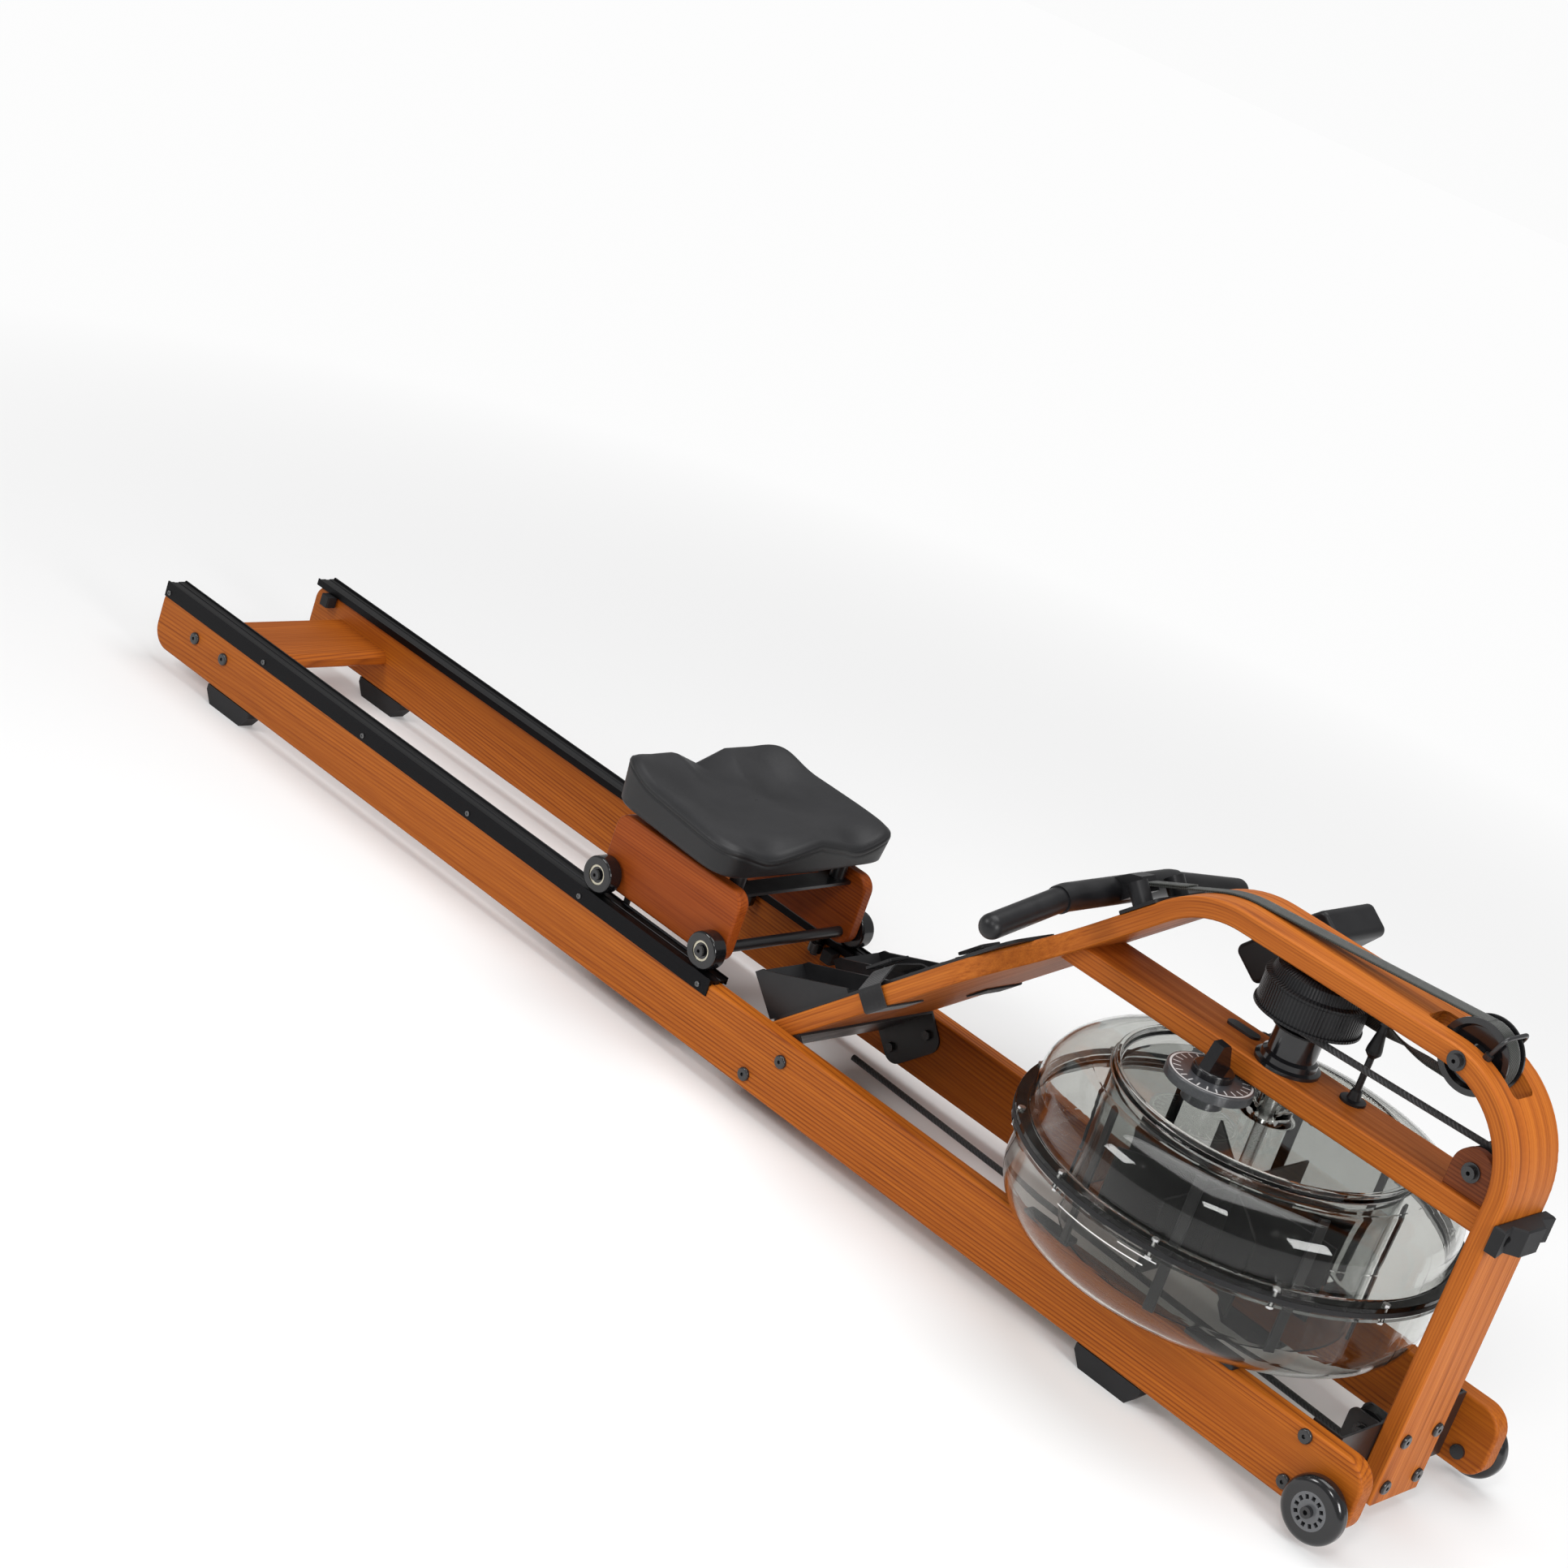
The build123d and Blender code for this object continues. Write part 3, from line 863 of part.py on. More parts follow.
KNOB_BASE, KNOB_TOP = DIAL_TOP + 0.3, 385.0
with BuildPart() as knob:
    with BuildSketch(Plane(origin=(DIAL_X, DIAL_Y, KNOB_BASE))):
        Circle(KNOB_R)
    extrude(amount=9)
    fillet(knob.edges().filter_by(GeomType.CIRCLE).group_by(Axis.Z)[-1], 2.5)
    with BuildSketch(Plane(origin=(DIAL_X, DIAL_Y, 0), x_dir=(0, 1, 0), z_dir=(1, 0, 0)).offset(-7)):
        with BuildLine():
            Polyline((-22, KNOB_BASE + 7), (22, KNOB_BASE + 7), (8, KNOB_TOP - 4), (4, KNOB_TOP),
                     (-10, KNOB_TOP), close=True)
        make_face()
    extrude(amount=14, taper=4)
    with BuildSketch(Plane(origin=(DIAL_X, DIAL_Y, KNOB_BASE))):
        Circle(4)
    extrude(amount=-8)
save(knob.part, "resistance_knob")

# ---------------------------------------------------------------- foot plates, heel cups, straps
PLATE_LOW, PLATE_HIGH, PLATE_IN, PLATE_OUT, PLATE_THICK = 40.0, 425.0, 20.0, 118.0, 4.0
CUP_LOW, CUP_HIGH, CUP_IN, CUP_OUT, CUP_WALL = 42.0, 172.0, 28.0, 114.0, 3.5
CUP_BASE = PLATE_THICK + 0.3
CUP_BACK = 60.0
for side, sign in SIDES.items():
    with BuildPart() as foot_plate:
        with BuildSketch(board_plane(0)):
            with Locations(((PLATE_LOW + PLATE_HIGH) / 2, sign * (PLATE_IN + PLATE_OUT) / 2)):
                RectangleRounded(PLATE_HIGH - PLATE_LOW, PLATE_OUT - PLATE_IN, 22)
        extrude(amount=PLATE_THICK)
        with BuildSketch(board_plane(PLATE_THICK)):
            for rib in range(6):
                with Locations((262 + rib * 24, sign * (PLATE_IN + PLATE_OUT) / 2)):
                    SlotOverall(70, 5, rotation=90)
        extrude(amount=2)
    save(foot_plate.part, f"{side}_foot_plate")

    with BuildPart() as heel_cup:
        with BuildSketch(side_plane(sign * (CUP_IN + CUP_OUT) / 2)):
            with BuildLine():
                Polyline((CUP_LOW, CUP_BASE), (CUP_HIGH, CUP_BASE), (CUP_HIGH, CUP_BASE + 6),
                         (CUP_LOW + 14, CUP_BASE + CUP_BACK - 4), (CUP_LOW + 8, CUP_BASE + CUP_BACK),
                         (CUP_LOW - 4, CUP_BASE + CUP_BACK), close=True)
            make_face()
        extrude(amount=(CUP_OUT - CUP_IN) / 2, both=True)
        with BuildSketch(side_plane(sign * (CUP_IN + CUP_OUT) / 2)):
            with BuildLine():
                Polyline((CUP_LOW + CUP_WALL, CUP_BASE + CUP_WALL), (CUP_HIGH + 1, CUP_BASE + CUP_WALL),
                         (CUP_HIGH + 1, CUP_BASE + CUP_BACK + 1),
                         (CUP_LOW - 4 + CUP_WALL, CUP_BASE + CUP_BACK + 1), close=True)
            make_face()
        extrude(amount=(CUP_OUT - CUP_IN) / 2 - CUP_WALL, both=True, mode=Mode.SUBTRACT)
        with BuildSketch(board_plane(CUP_BASE)):
            with Locations((122, sign * (CUP_IN + CUP_OUT) / 2)):
                SlotOverall(50, 14)
        extrude(amount=CUP_WALL, mode=Mode.SUBTRACT)
    save(heel_cup.part, f"{side}_heel_cup")

WEB_ALONG, WEB_WIDTH, WEB_THICK = 218.0, 34.0, 2.0
web_route = [(PLATE_IN + 6, PLATE_THICK + 2), (46, 17), (92, 22), (FOOTBOARD_HALF + 4, 2),
             (FOOTBOARD_HALF + 2.5, -BOARD_THICK - 1.5), (60, -BOARD_THICK - 1.5)]
with BuildPart() as foot_straps:
    web_plane = Plane(origin=on_board(WEB_ALONG - WEB_WIDTH / 2, 0), x_dir=(0, 1, 0),
                      z_dir=(slope_cos, 0, slope_sin))
    for sign in SIDES.values():
        with BuildSketch(web_plane):
            with BuildLine():
                FilletPolyline(*[(sign * y, above) for y, above in web_route], radius=[18, 24, 5, 3])
            trace(line_width=WEB_THICK)
        extrude(amount=WEB_WIDTH)
save(foot_straps.part, "foot_straps")

BUCKLE_ABOVE = 25.0
with BuildPart() as strap_buckles:
    with BuildSketch(board_plane(BUCKLE_ABOVE)):
        for sign in SIDES.values():
            with Locations((WEB_ALONG, sign * 86)):
                RectangleRounded(WEB_WIDTH + 8, 36, 4)
            with Locations((WEB_ALONG, sign * 77), (WEB_ALONG, sign * 94)):
                RectangleRounded(WEB_WIDTH, 10, 2, mode=Mode.SUBTRACT)
    extrude(amount=4)
    chamfer(strap_buckles.edges().filter_by(board_plane(BUCKLE_ABOVE)), 0.6)
save(strap_buckles.part, "strap_buckles")

# ---------------------------------------------------------------- seat
PAD_REAR, PAD_FRONT, PAD_REAR_HALF, PAD_FRONT_HALF = -201.0, 29.0, 140.0, 154.0
with BuildPart() as seat_pad:
    with BuildSketch(Plane.XY.offset(PAD_LOW)) as pad_plan:
        with BuildLine():
            Polyline((PAD_REAR, -PAD_REAR_HALF), (PAD_FRONT, -PAD_FRONT_HALF), (PAD_FRONT, PAD_FRONT_HALF),
                     (PAD_REAR, PAD_REAR_HALF), close=True)
        make_face()
        fillet(pad_plan.vertices(), 40)
    extrude(amount=PAD_HIGH - PAD_LOW)
    fillet(seat_pad.faces().sort_by(Axis.Z)[-1].edges(), 18)
    fillet(seat_pad.faces().sort_by(Axis.Z)[0].edges(), 4)
save(seat_pad.part, "seat_pad")

SEAT_POST_STEP, SEAT_POST_Y, SEAT_POST_R = 73.0, 94.0, 10.0
SEAT_BAR_LOW, SEAT_BAR_WIDTH, SEAT_BAR_THICK = 204.0, 30.0, 4.0
GUIDE_PIN_R, GUIDE_LOW, GUIDE_HIGH = 3.0, 94.0, 108.0
guide_spots = [(SEAT_X + dx, dy) for dx in (-GUIDE_STEP, GUIDE_STEP) for dy in (-GUIDE_Y, GUIDE_Y)]
with BuildPart() as seat_frame:
    with BuildSketch(Plane.XY.offset(SEAT_BAR_LOW)):
        with Locations((SEAT_X - SEAT_POST_STEP, 0), (SEAT_X + SEAT_POST_STEP, 0)):
            Rectangle(SEAT_BAR_WIDTH, 2 * CARRIAGE_IN)
        with Locations((SEAT_X, SEAT_POST_Y), (SEAT_X, -SEAT_POST_Y)):
            Rectangle(2 * SEAT_POST_STEP, SEAT_BAR_WIDTH - 10)
    extrude(amount=SEAT_BAR_THICK)
    with BuildSketch(Plane.XY.offset(SEAT_BAR_LOW + SEAT_BAR_THICK)):
        with Locations((SEAT_X, 0)):
            with GridLocations(2 * SEAT_POST_STEP, 2 * SEAT_POST_Y, 2, 2):
                Circle(SEAT_POST_R)
    extrude(amount=PAD_LOW - SEAT_BAR_LOW - SEAT_BAR_THICK)
    with BuildSketch(Plane.XY.offset(GUIDE_LOW - 4)):
        with Locations(*guide_spots):
            Circle(GUIDE_PIN_R)
    extrude(amount=CARRIAGE_LOW - GUIDE_LOW + 4)
    with BuildSketch(Plane.XY.offset(GUIDE_LOW - 4)):
        with Locations(*guide_spots):
            RegularPolygon(5.5, 6)
    extrude(amount=3.7)
    with BuildSketch(Plane.XY.offset(GUIDE_HIGH + 0.3)):
        with Locations(*guide_spots):
            Circle(4.5)
    extrude(amount=CARRIAGE_LOW - GUIDE_HIGH - 0.3)
save(seat_frame.part, "seat_frame")

CARRIAGE_HALF_LENGTH, CARRIAGE_CORNER, CROSS_AXLE_R = 112.5, 20.0, 7.0
wheel_spots = [(SEAT_X - SEAT_WHEEL_STEP, SEAT_WHEEL_Z), (SEAT_X + SEAT_WHEEL_STEP, SEAT_WHEEL_Z)]
with BuildPart() as carriage_boards:
    with BuildSketch(Plane.XZ.offset(CARRIAGE_IN)):
        with Locations((SEAT_X, (CARRIAGE_LOW + CARRIAGE_HIGH) / 2)):
            RectangleRounded(2 * CARRIAGE_HALF_LENGTH, CARRIAGE_HIGH - CARRIAGE_LOW, CARRIAGE_CORNER)
    extrude(amount=CARRIAGE_OUT - CARRIAGE_IN)
    fillet(carriage_boards.edges().filter_by(Axis.Y, reverse=True), 3.5)
    with BuildSketch(Plane.XZ.offset(CARRIAGE_IN)):
        with Locations(*wheel_spots):
            Circle(AXLE_R + RUN_CLEAR)
    extrude(amount=CARRIAGE_OUT - CARRIAGE_IN, mode=Mode.SUBTRACT)
    mirror(about=Plane.XZ)
save(carriage_boards.part, "carriage_boards")

SEAT_WHEEL_IN, SEAT_WHEEL_OUT = 126.0, 148.0
with BuildPart() as carriage_axles:
    for wheel_x, wheel_z in wheel_spots:
        for radius, reach in ((CROSS_AXLE_R, CARRIAGE_IN), (AXLE_R, SEAT_WHEEL_OUT + 0.3)):
            with BuildSketch(Plane.XZ.offset(-reach)):
                with Locations((wheel_x, wheel_z)):
                    Circle(radius)
            extrude(amount=2 * reach)
        for sign in SIDES.values():
            with BuildSketch(Plane.XZ.offset(-sign * CARRIAGE_OUT)):
                with Locations((wheel_x, wheel_z)):
                    Circle(AXLE_R + 3)
            extrude(amount=-sign * (SEAT_WHEEL_IN - CARRIAGE_OUT - 0.3))
            with BuildSketch(Plane.XZ.offset(-sign * (SEAT_WHEEL_OUT + 0.3))):
                with Locations((wheel_x, wheel_z)):
                    Circle(7)
                    RegularPolygon(SOCKET_R, 6, mode=Mode.SUBTRACT)
            extrude(amount=-sign * 3.5)
save(carriage_axles.part, "carriage_axles")

for pair_name, wheel_spot in zip(("rear_seat_wheels", "front_seat_wheels"), wheel_spots):
    with BuildPart() as seat_wheels:
        with BuildSketch(Plane.XZ.offset(SEAT_WHEEL_IN)):
            with Locations(wheel_spot):
                Circle(SEAT_WHEEL_R)
                Circle(AXLE_R + RUN_CLEAR, mode=Mode.SUBTRACT)
        extrude(amount=SEAT_WHEEL_OUT - SEAT_WHEEL_IN)
        fillet(seat_wheels.edges().filter_by(GeomType.CIRCLE).sort_by(SortBy.RADIUS)[-2:], 3)
        with BuildSketch(Plane.XZ.offset(SEAT_WHEEL_OUT)):
            with Locations(wheel_spot):
                Circle(13)
        extrude(amount=-1.5, mode=Mode.SUBTRACT)
        mirror(about=Plane.XZ)
    save(seat_wheels.part, pair_name)

for end_name, end_step in (("rear", -GUIDE_STEP), ("front", GUIDE_STEP)):
    for side, sign in SIDES.items():
        with BuildPart() as roller:
            with BuildSketch(Plane(origin=(SEAT_X + end_step, sign * GUIDE_Y, GUIDE_LOW))):
                Circle(GUIDE_R)
                Circle(GUIDE_PIN_R + RUN_CLEAR, mode=Mode.SUBTRACT)
            extrude(amount=GUIDE_HIGH - GUIDE_LOW)
            fillet(roller.edges().filter_by(GeomType.CIRCLE).sort_by(SortBy.RADIUS)[-2:], 1.5)
        save(roller.part, f"{end_name}_{side}_guide_roller")

# ---------------------------------------------------------------- transport wheels and their axle bolts
WHEEL_IN = RAIL_OUT + 2.3
WHEEL_OUT = WHEEL_IN + WHEEL_WIDTH
HUB_RIM_R, WHEEL_SPOKES = 20.0, 12
for side, sign in SIDES.items():
    inward = Plane.XZ.offset(-sign * WHEEL_IN)
    with BuildPart() as wheel:
        with BuildSketch(inward):
            with Locations((WHEEL_X, WHEEL_Z)):
                Circle(WHEEL_R)
        extrude(amount=-sign * WHEEL_WIDTH)
        fillet(wheel.edges().filter_by(GeomType.CIRCLE), 9)
        with BuildSketch(inward):
            with Locations((WHEEL_X, WHEEL_Z)):
                with PolarLocations(HUB_RIM_R - 4.5, WHEEL_SPOKES):
                    Rectangle(5, 4.4)
                Circle(BOLT_R + RUN_CLEAR)
        extrude(amount=-sign * WHEEL_WIDTH, mode=Mode.SUBTRACT)
    save(wheel.part, f"{side}_transport_wheel")

with BuildPart() as wheel_bolts:
    for sign in SIDES.values():
        for start, reach, radius in ((RAIL_IN, WHEEL_OUT + 0.3, BOLT_R), (RAIL_OUT, WHEEL_IN - 0.3, 7),
                                     (WHEEL_OUT + 0.3, WHEEL_OUT + 6, 6.5)):
            with BuildSketch(Plane.XZ.offset(-sign * start)):
                with Locations((WHEEL_X, WHEEL_Z)):
                    Circle(radius)
            extrude(amount=-sign * (reach - start))
        with BuildSketch(Plane.XZ.offset(-sign * RAIL_IN)):
            with Locations((WHEEL_X, WHEEL_Z)):
                Circle(BOLT_HEAD_R)
        extrude(amount=sign * BOLT_HEAD_H)
        with BuildSketch(Plane.XZ.offset(-sign * (WHEEL_OUT + 6))):
            with Locations((WHEEL_X, WHEEL_Z)):
                RegularPolygon(3, 6)
        extrude(amount=sign * 4, mode=Mode.SUBTRACT)
save(wheel_bolts.part, "wheel_bolts")
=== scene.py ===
"""The looks of the rowing machine.

Materials on the CAD nodes, a sculpted seat pad, the webbing of the drive, and the tank's bars and lines.
"""
import json
import math

import bpy
import numpy as np
from mathutils import Matrix, Vector

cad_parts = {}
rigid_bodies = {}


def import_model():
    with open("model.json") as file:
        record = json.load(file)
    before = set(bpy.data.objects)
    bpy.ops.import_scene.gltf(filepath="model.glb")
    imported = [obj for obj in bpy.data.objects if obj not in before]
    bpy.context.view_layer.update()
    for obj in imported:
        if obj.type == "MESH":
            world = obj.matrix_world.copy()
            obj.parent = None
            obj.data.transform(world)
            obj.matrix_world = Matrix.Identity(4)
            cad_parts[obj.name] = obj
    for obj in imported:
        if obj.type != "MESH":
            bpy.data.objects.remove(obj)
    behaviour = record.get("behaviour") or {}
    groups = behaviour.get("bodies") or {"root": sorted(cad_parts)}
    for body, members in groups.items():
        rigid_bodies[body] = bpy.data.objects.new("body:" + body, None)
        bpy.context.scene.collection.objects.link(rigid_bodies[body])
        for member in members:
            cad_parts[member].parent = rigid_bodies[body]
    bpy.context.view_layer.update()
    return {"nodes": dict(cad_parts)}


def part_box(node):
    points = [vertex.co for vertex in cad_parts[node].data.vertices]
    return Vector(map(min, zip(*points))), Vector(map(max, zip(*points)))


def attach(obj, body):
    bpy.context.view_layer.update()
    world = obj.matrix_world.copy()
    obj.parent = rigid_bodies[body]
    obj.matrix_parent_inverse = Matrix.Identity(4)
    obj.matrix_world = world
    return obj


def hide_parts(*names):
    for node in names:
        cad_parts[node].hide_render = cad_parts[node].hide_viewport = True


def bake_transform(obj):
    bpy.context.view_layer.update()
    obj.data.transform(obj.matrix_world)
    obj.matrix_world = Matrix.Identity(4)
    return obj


for leftover in list(bpy.data.objects):
    bpy.data.objects.remove(leftover)
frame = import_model()

# ---------------------------------------------------------------- places, in metres
FOOTBOARD_ANGLE = math.radians(43.5)
FOOT_LOW = (0.1041, 0.0712)
TOP_FACE_Z, POST_FACE_X = 0.520, 1.039
REAR_BEND, REAR_BEND_R = (0.63685, 0.370), 0.150
FRONT_BEND, FRONT_BEND_R = (0.909, 0.390), 0.130
STRAP_END_ALONG, STRAP_END_ABOVE = 0.5486, 0.026
STRAP_WIDTH, STRAP_THICK = 0.024, 0.0022
PULLEY_RUN_R, RETURN_STRAIGHT = 0.0383, 0.046
STRAP_TOUCH_Z = 0.455
TRACK_RUN_Y, TANK_WALL_R = 0.137, 0.250
slope_cos, slope_sin = math.cos(FOOTBOARD_ANGLE), math.sin(FOOTBOARD_ANGLE)


def middle(node):
    """The middle of a CAD node's box."""
    low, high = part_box(node)
    return (low + high) / 2


def on_board(along, above):
    """A point of the machine's middle plane, given by its distance up the footboard and out of its face."""
    return Vector((FOOT_LOW[0] + along * slope_cos - above * slope_sin, 0.0,
                   FOOT_LOW[1] + along * slope_sin + above * slope_cos))


# ---------------------------------------------------------------- material kit
class Look:
    """A material with short calls for the nodes it is made of. Vectors are places in the row frame."""

    def __init__(self, name, **values):
        self.material = bpy.data.materials.new(name)
        self.material.use_nodes = True
        self.tree = self.material.node_tree
        self.shader = self.tree.nodes["Principled BSDF"]
        self.place = self.node("TexCoord").outputs["Object"]
        self.set(**values)

    def node(self, kind, inputs=None, **settings):
        made = self.tree.nodes.new("ShaderNode" + kind)
        for key, value in settings.items():
            setattr(made, key, value)
        for socket, value in (inputs or {}).items():
            self.put(made.inputs[socket], value)
        return made

    def put(self, socket, value):
        if isinstance(value, bpy.types.NodeSocket):
            self.tree.links.new(value, socket)
        elif isinstance(value, tuple) and len(value) == 3 and socket.type == "RGBA":
            socket.default_value = (*value, 1.0)
        else:
            socket.default_value = value

    def set(self, **values):
        for key, value in values.items():
            self.put(self.shader.inputs[key.replace("_", " ")], value)

    def calc(self, operation, *values):
        inputs = dict(enumerate(values))
        return self.node("Math", inputs, operation=operation).outputs[0]

    def length(self, first, second):
        """The length of the line whose two legs at a right angle are given."""
        squares = self.calc("ADD", self.calc("POWER", first, 2.0), self.calc("POWER", second, 2.0))
        return self.calc("SQRT", squares)

    def scaled(self, vector, size, turn=(0, 0, 0)):
        return self.node("Mapping", {"Vector": vector, "Scale": size, "Rotation": turn}).outputs[0]

    def parts(self, vector):
        return self.node("SeparateXYZ", {0: vector}).outputs

    def joined(self, x, y, z):
        return self.node("CombineXYZ", {0: x, 1: y, 2: z}).outputs[0]

    def noise(self, vector, scale, detail=3.0, roughness=0.55):
        inputs = {"Vector": vector, "Scale": scale, "Detail": detail, "Roughness": roughness}
        return self.node("TexNoise", inputs).outputs[0]

    def ramp(self, factor, *stops):
        made = self.node("ValToRGB", {"Fac": factor})
        points = made.color_ramp.elements
        while len(points) < len(stops):
            points.new(0.5)
        for point, (position, colour) in zip(points, stops):
            point.position = position
            point.color = (*colour, 1.0) if isinstance(colour, tuple) else (colour, colour, colour, 1.0)
        return made.outputs[0]

    def mix(self, factor, first, second, blend_type="MIX"):
        made = self.node("Mix", data_type="RGBA", blend_type=blend_type)
        for socket, value in ((0, factor), (6, first), (7, second)):
            self.put(made.inputs[socket], value)
        return made.outputs[2]

    def bump(self, height, strength, distance):
        made = self.node("Bump", {"Height": height, "Strength": strength, "Distance": distance})
        self.put(self.shader.inputs["Normal"], made.outputs[0])


# ---------------------------------------------------------------- wood
# How much of a place's height is added to its way along the bent board's grain.
GRAIN_RISE = 0.8


def board_lift(look):
    """Grain that follows the bent board. Its Z is how far a place is out of the board's outer face."""
    x, y, z = look.parts(look.place)
    slope = look.calc("SUBTRACT", look.calc("MULTIPLY", look.calc("SUBTRACT", z, FOOT_LOW[1]), slope_cos),
                      look.calc("MULTIPLY", look.calc("SUBTRACT", x, FOOT_LOW[0]), slope_sin))
    top = look.calc("SUBTRACT", z, TOP_FACE_Z)
    post = look.calc("SUBTRACT", x, POST_FACE_X)
    lift = look.calc("MAXIMUM", look.calc("MAXIMUM", slope, top), post)
    for (centre_x, centre_z), radius in ((REAR_BEND, REAR_BEND_R), (FRONT_BEND, FRONT_BEND_R)):
        out_x, out_z = look.calc("SUBTRACT", x, centre_x), look.calc("SUBTRACT", z, centre_z)
        reach = look.length(out_x, out_z)
        if radius == FRONT_BEND_R:
            inside = look.calc("MULTIPLY", look.calc("GREATER_THAN", out_x, 0.0),
                               look.calc("GREATER_THAN", out_z, 0.0))
        else:
            up_slope = look.calc("ADD", look.calc("MULTIPLY", out_x, slope_cos),
                                 look.calc("MULTIPLY", out_z, slope_sin))
            inside = look.calc("MULTIPLY", look.calc("LESS_THAN", out_x, 0.0),
                               look.calc("GREATER_THAN", up_slope, 0.0))
        bend = look.calc("SUBTRACT", reach, radius)
        lift = look.calc("ADD", look.calc("MULTIPLY", inside, bend),
                         look.calc("MULTIPLY", look.calc("SUBTRACT", 1.0, inside), lift))
    return look.joined(look.calc("ADD", x, look.calc("MULTIPLY", z, GRAIN_RISE)), y, lift)


def wood(name, pale, warm, deep, grain=None, ring_step=0.0042, drift=0.045, heart=(0.0, -0.12),
         streaky=0.38):
    """Stained open-grain wood.

    grain gives the vector whose X runs along the grain, and heart is the tree's middle beside the board.
    drift is how fast the board leaves it, and streaky is the share of fine streaks against growth rings.
    """
    look = Look(name, Specular_IOR_Level=0.20)
    run = grain(look) if grain else look.place
    wander = look.noise(look.scaled(run, (1.3, 7.0, 7.0)), 1.0, 2.0, 0.4)
    along, across, depth = look.parts(run)
    lean = look.calc("ADD", look.calc("MULTIPLY", along, drift), look.calc("MULTIPLY", wander, 0.024))
    side = look.calc("ADD", look.calc("SUBTRACT", across, heart[0]), lean)
    rise = look.calc("ADD", look.calc("SUBTRACT", depth, heart[1]), look.calc("MULTIPLY", wander, 0.02))
    radius = look.length(side, rise)
    ring = look.calc("FRACT", look.calc("DIVIDE", radius, ring_step))
    band = look.ramp(ring, (0.0, 0.0), (0.16, 0.75), (0.50, 1.0), (0.80, 0.52), (1.0, 0.0))
    pores = look.noise(look.scaled(run, (9.0, 760.0, 760.0)), 1.0, 2.0, 0.6)
    streaks = look.noise(look.scaled(run, (1.5, 150.0, 150.0)), 1.0, 5.0, 0.6)
    broad = look.noise(look.scaled(run, (1.1, 16.0, 16.0)), 1.0, 2.0, 0.5)
    rings = look.mix(look.ramp(broad, (0.38, 0.15), (0.60, 1.0)), (0.72, 0.72, 0.72), band)
    grainy = look.mix(streaky, rings, look.ramp(streaks, (0.26, 0.0), (0.66, 1.0)))
    pitted = look.mix(0.35, grainy, look.ramp(pores, (0.36, 0.0), (0.56, 1.0)), "MULTIPLY")
    colour = look.ramp(pitted, (0.04, deep), (0.42, warm), (0.84, pale))
    tone = look.ramp(broad, (0.32, (0.88, 0.85, 0.84)), (0.66, (1.06, 1.06, 1.04)))
    look.set(Base_Color=look.mix(1.0, colour, tone, "MULTIPLY"),
             Roughness=look.ramp(pitted, (0.0, 0.62), (1.0, 0.42)))
    look.bump(pitted, 0.25, 0.0006)
    return look.material


def crosswise(look):
    """Grain that runs across the machine."""
    x, y, z = look.parts(look.place)
    return look.joined(y, x, z)


# ---------------------------------------------------------------- metals, plastics, rubber
GLOSS_SPREAD, PAINT_SPREAD = 0.06, 0.07


def moulded(name, colour, roughness, grain=900.0, depth=0.00012, coat=0.0):
    """Plastic or rubber with a fine moulded grain and a slightly uneven gloss."""
    look = Look(name, Coat_Weight=coat, Coat_Roughness=0.1, Specular_IOR_Level=0.36)
    fine = look.noise(look.place, grain, 3.0, 0.6)
    broad = look.noise(look.place, 22.0, 3.0, 0.6)
    brighter = tuple(c * 1.5 + 0.003 for c in colour)
    look.set(Base_Color=look.mix(look.ramp(broad, (0.35, 0.0), (0.75, 1.0)), colour, brighter),
             Roughness=look.ramp(broad, (0.3, roughness - GLOSS_SPREAD), (0.7, roughness + GLOSS_SPREAD)))
    look.bump(fine, 0.35, depth)
    return look.material


def painted(name, colour, roughness=0.38):
    """Powder-coated steel with its faint orange-peel."""
    look = Look(name, Coat_Weight=0.3, Coat_Roughness=0.22)
    peel = look.noise(look.place, 420.0, 2.0, 0.5)
    broad = look.noise(look.place, 30.0, 3.0, 0.6)
    look.set(Base_Color=look.mix(broad, colour, tuple(c * 1.6 + 0.004 for c in colour)),
             Roughness=look.ramp(broad, (0.3, roughness - PAINT_SPREAD), (0.7, roughness + PAINT_SPREAD)))
    look.bump(peel, 0.3, 0.00025)
    return look.material


def extruded(name):
    """Black anodised extrusion: lines drawn along it, and a run rubbed brighter by the wheels."""
    look = Look(name, Metallic=0.85)
    across = look.parts(look.place)[1]
    lines = look.noise(look.scaled(look.place, (3.0, 2600.0, 2600.0)), 1.0, 2.0, 0.6)
    from_run = look.calc("ABSOLUTE", look.calc("SUBTRACT", look.calc("ABSOLUTE", across), TRACK_RUN_Y))
    rubbed = look.ramp(look.calc("MULTIPLY", from_run, 100.0), (0.30, 1.0), (0.85, 0.0))
    patchy = look.noise(look.scaled(look.place, (5.0, 90.0, 90.0)), 1.0, 4.0, 0.7)
    wear_and_painted_top_light = look.calc("MULTIPLY", rubbed, patchy)
    look.set(Base_Color=look.mix(wear_and_painted_top_light, (0.006, 0.006, 0.007), (0.045, 0.045, 0.047)),
             Roughness=look.ramp(lines, (0.3, 0.26), (0.7, 0.44)))
    look.bump(lines, 0.2, 0.0002)
    return look.material


def bright_steel(name, shine):
    """Zinc-plated steel with faint turning marks."""
    look = Look(name, Metallic=1.0)
    marks = look.noise(look.place, 1500.0, 2.0, 0.6)
    look.set(Base_Color=look.ramp(marks, (0.3, (0.50 * shine,) * 3), (0.7, (0.72 * shine,) * 3)),
             Roughness=look.ramp(marks, (0.3, 0.22), (0.7, 0.36)))
    look.bump(marks, 0.15, 0.0001)
    return look.material


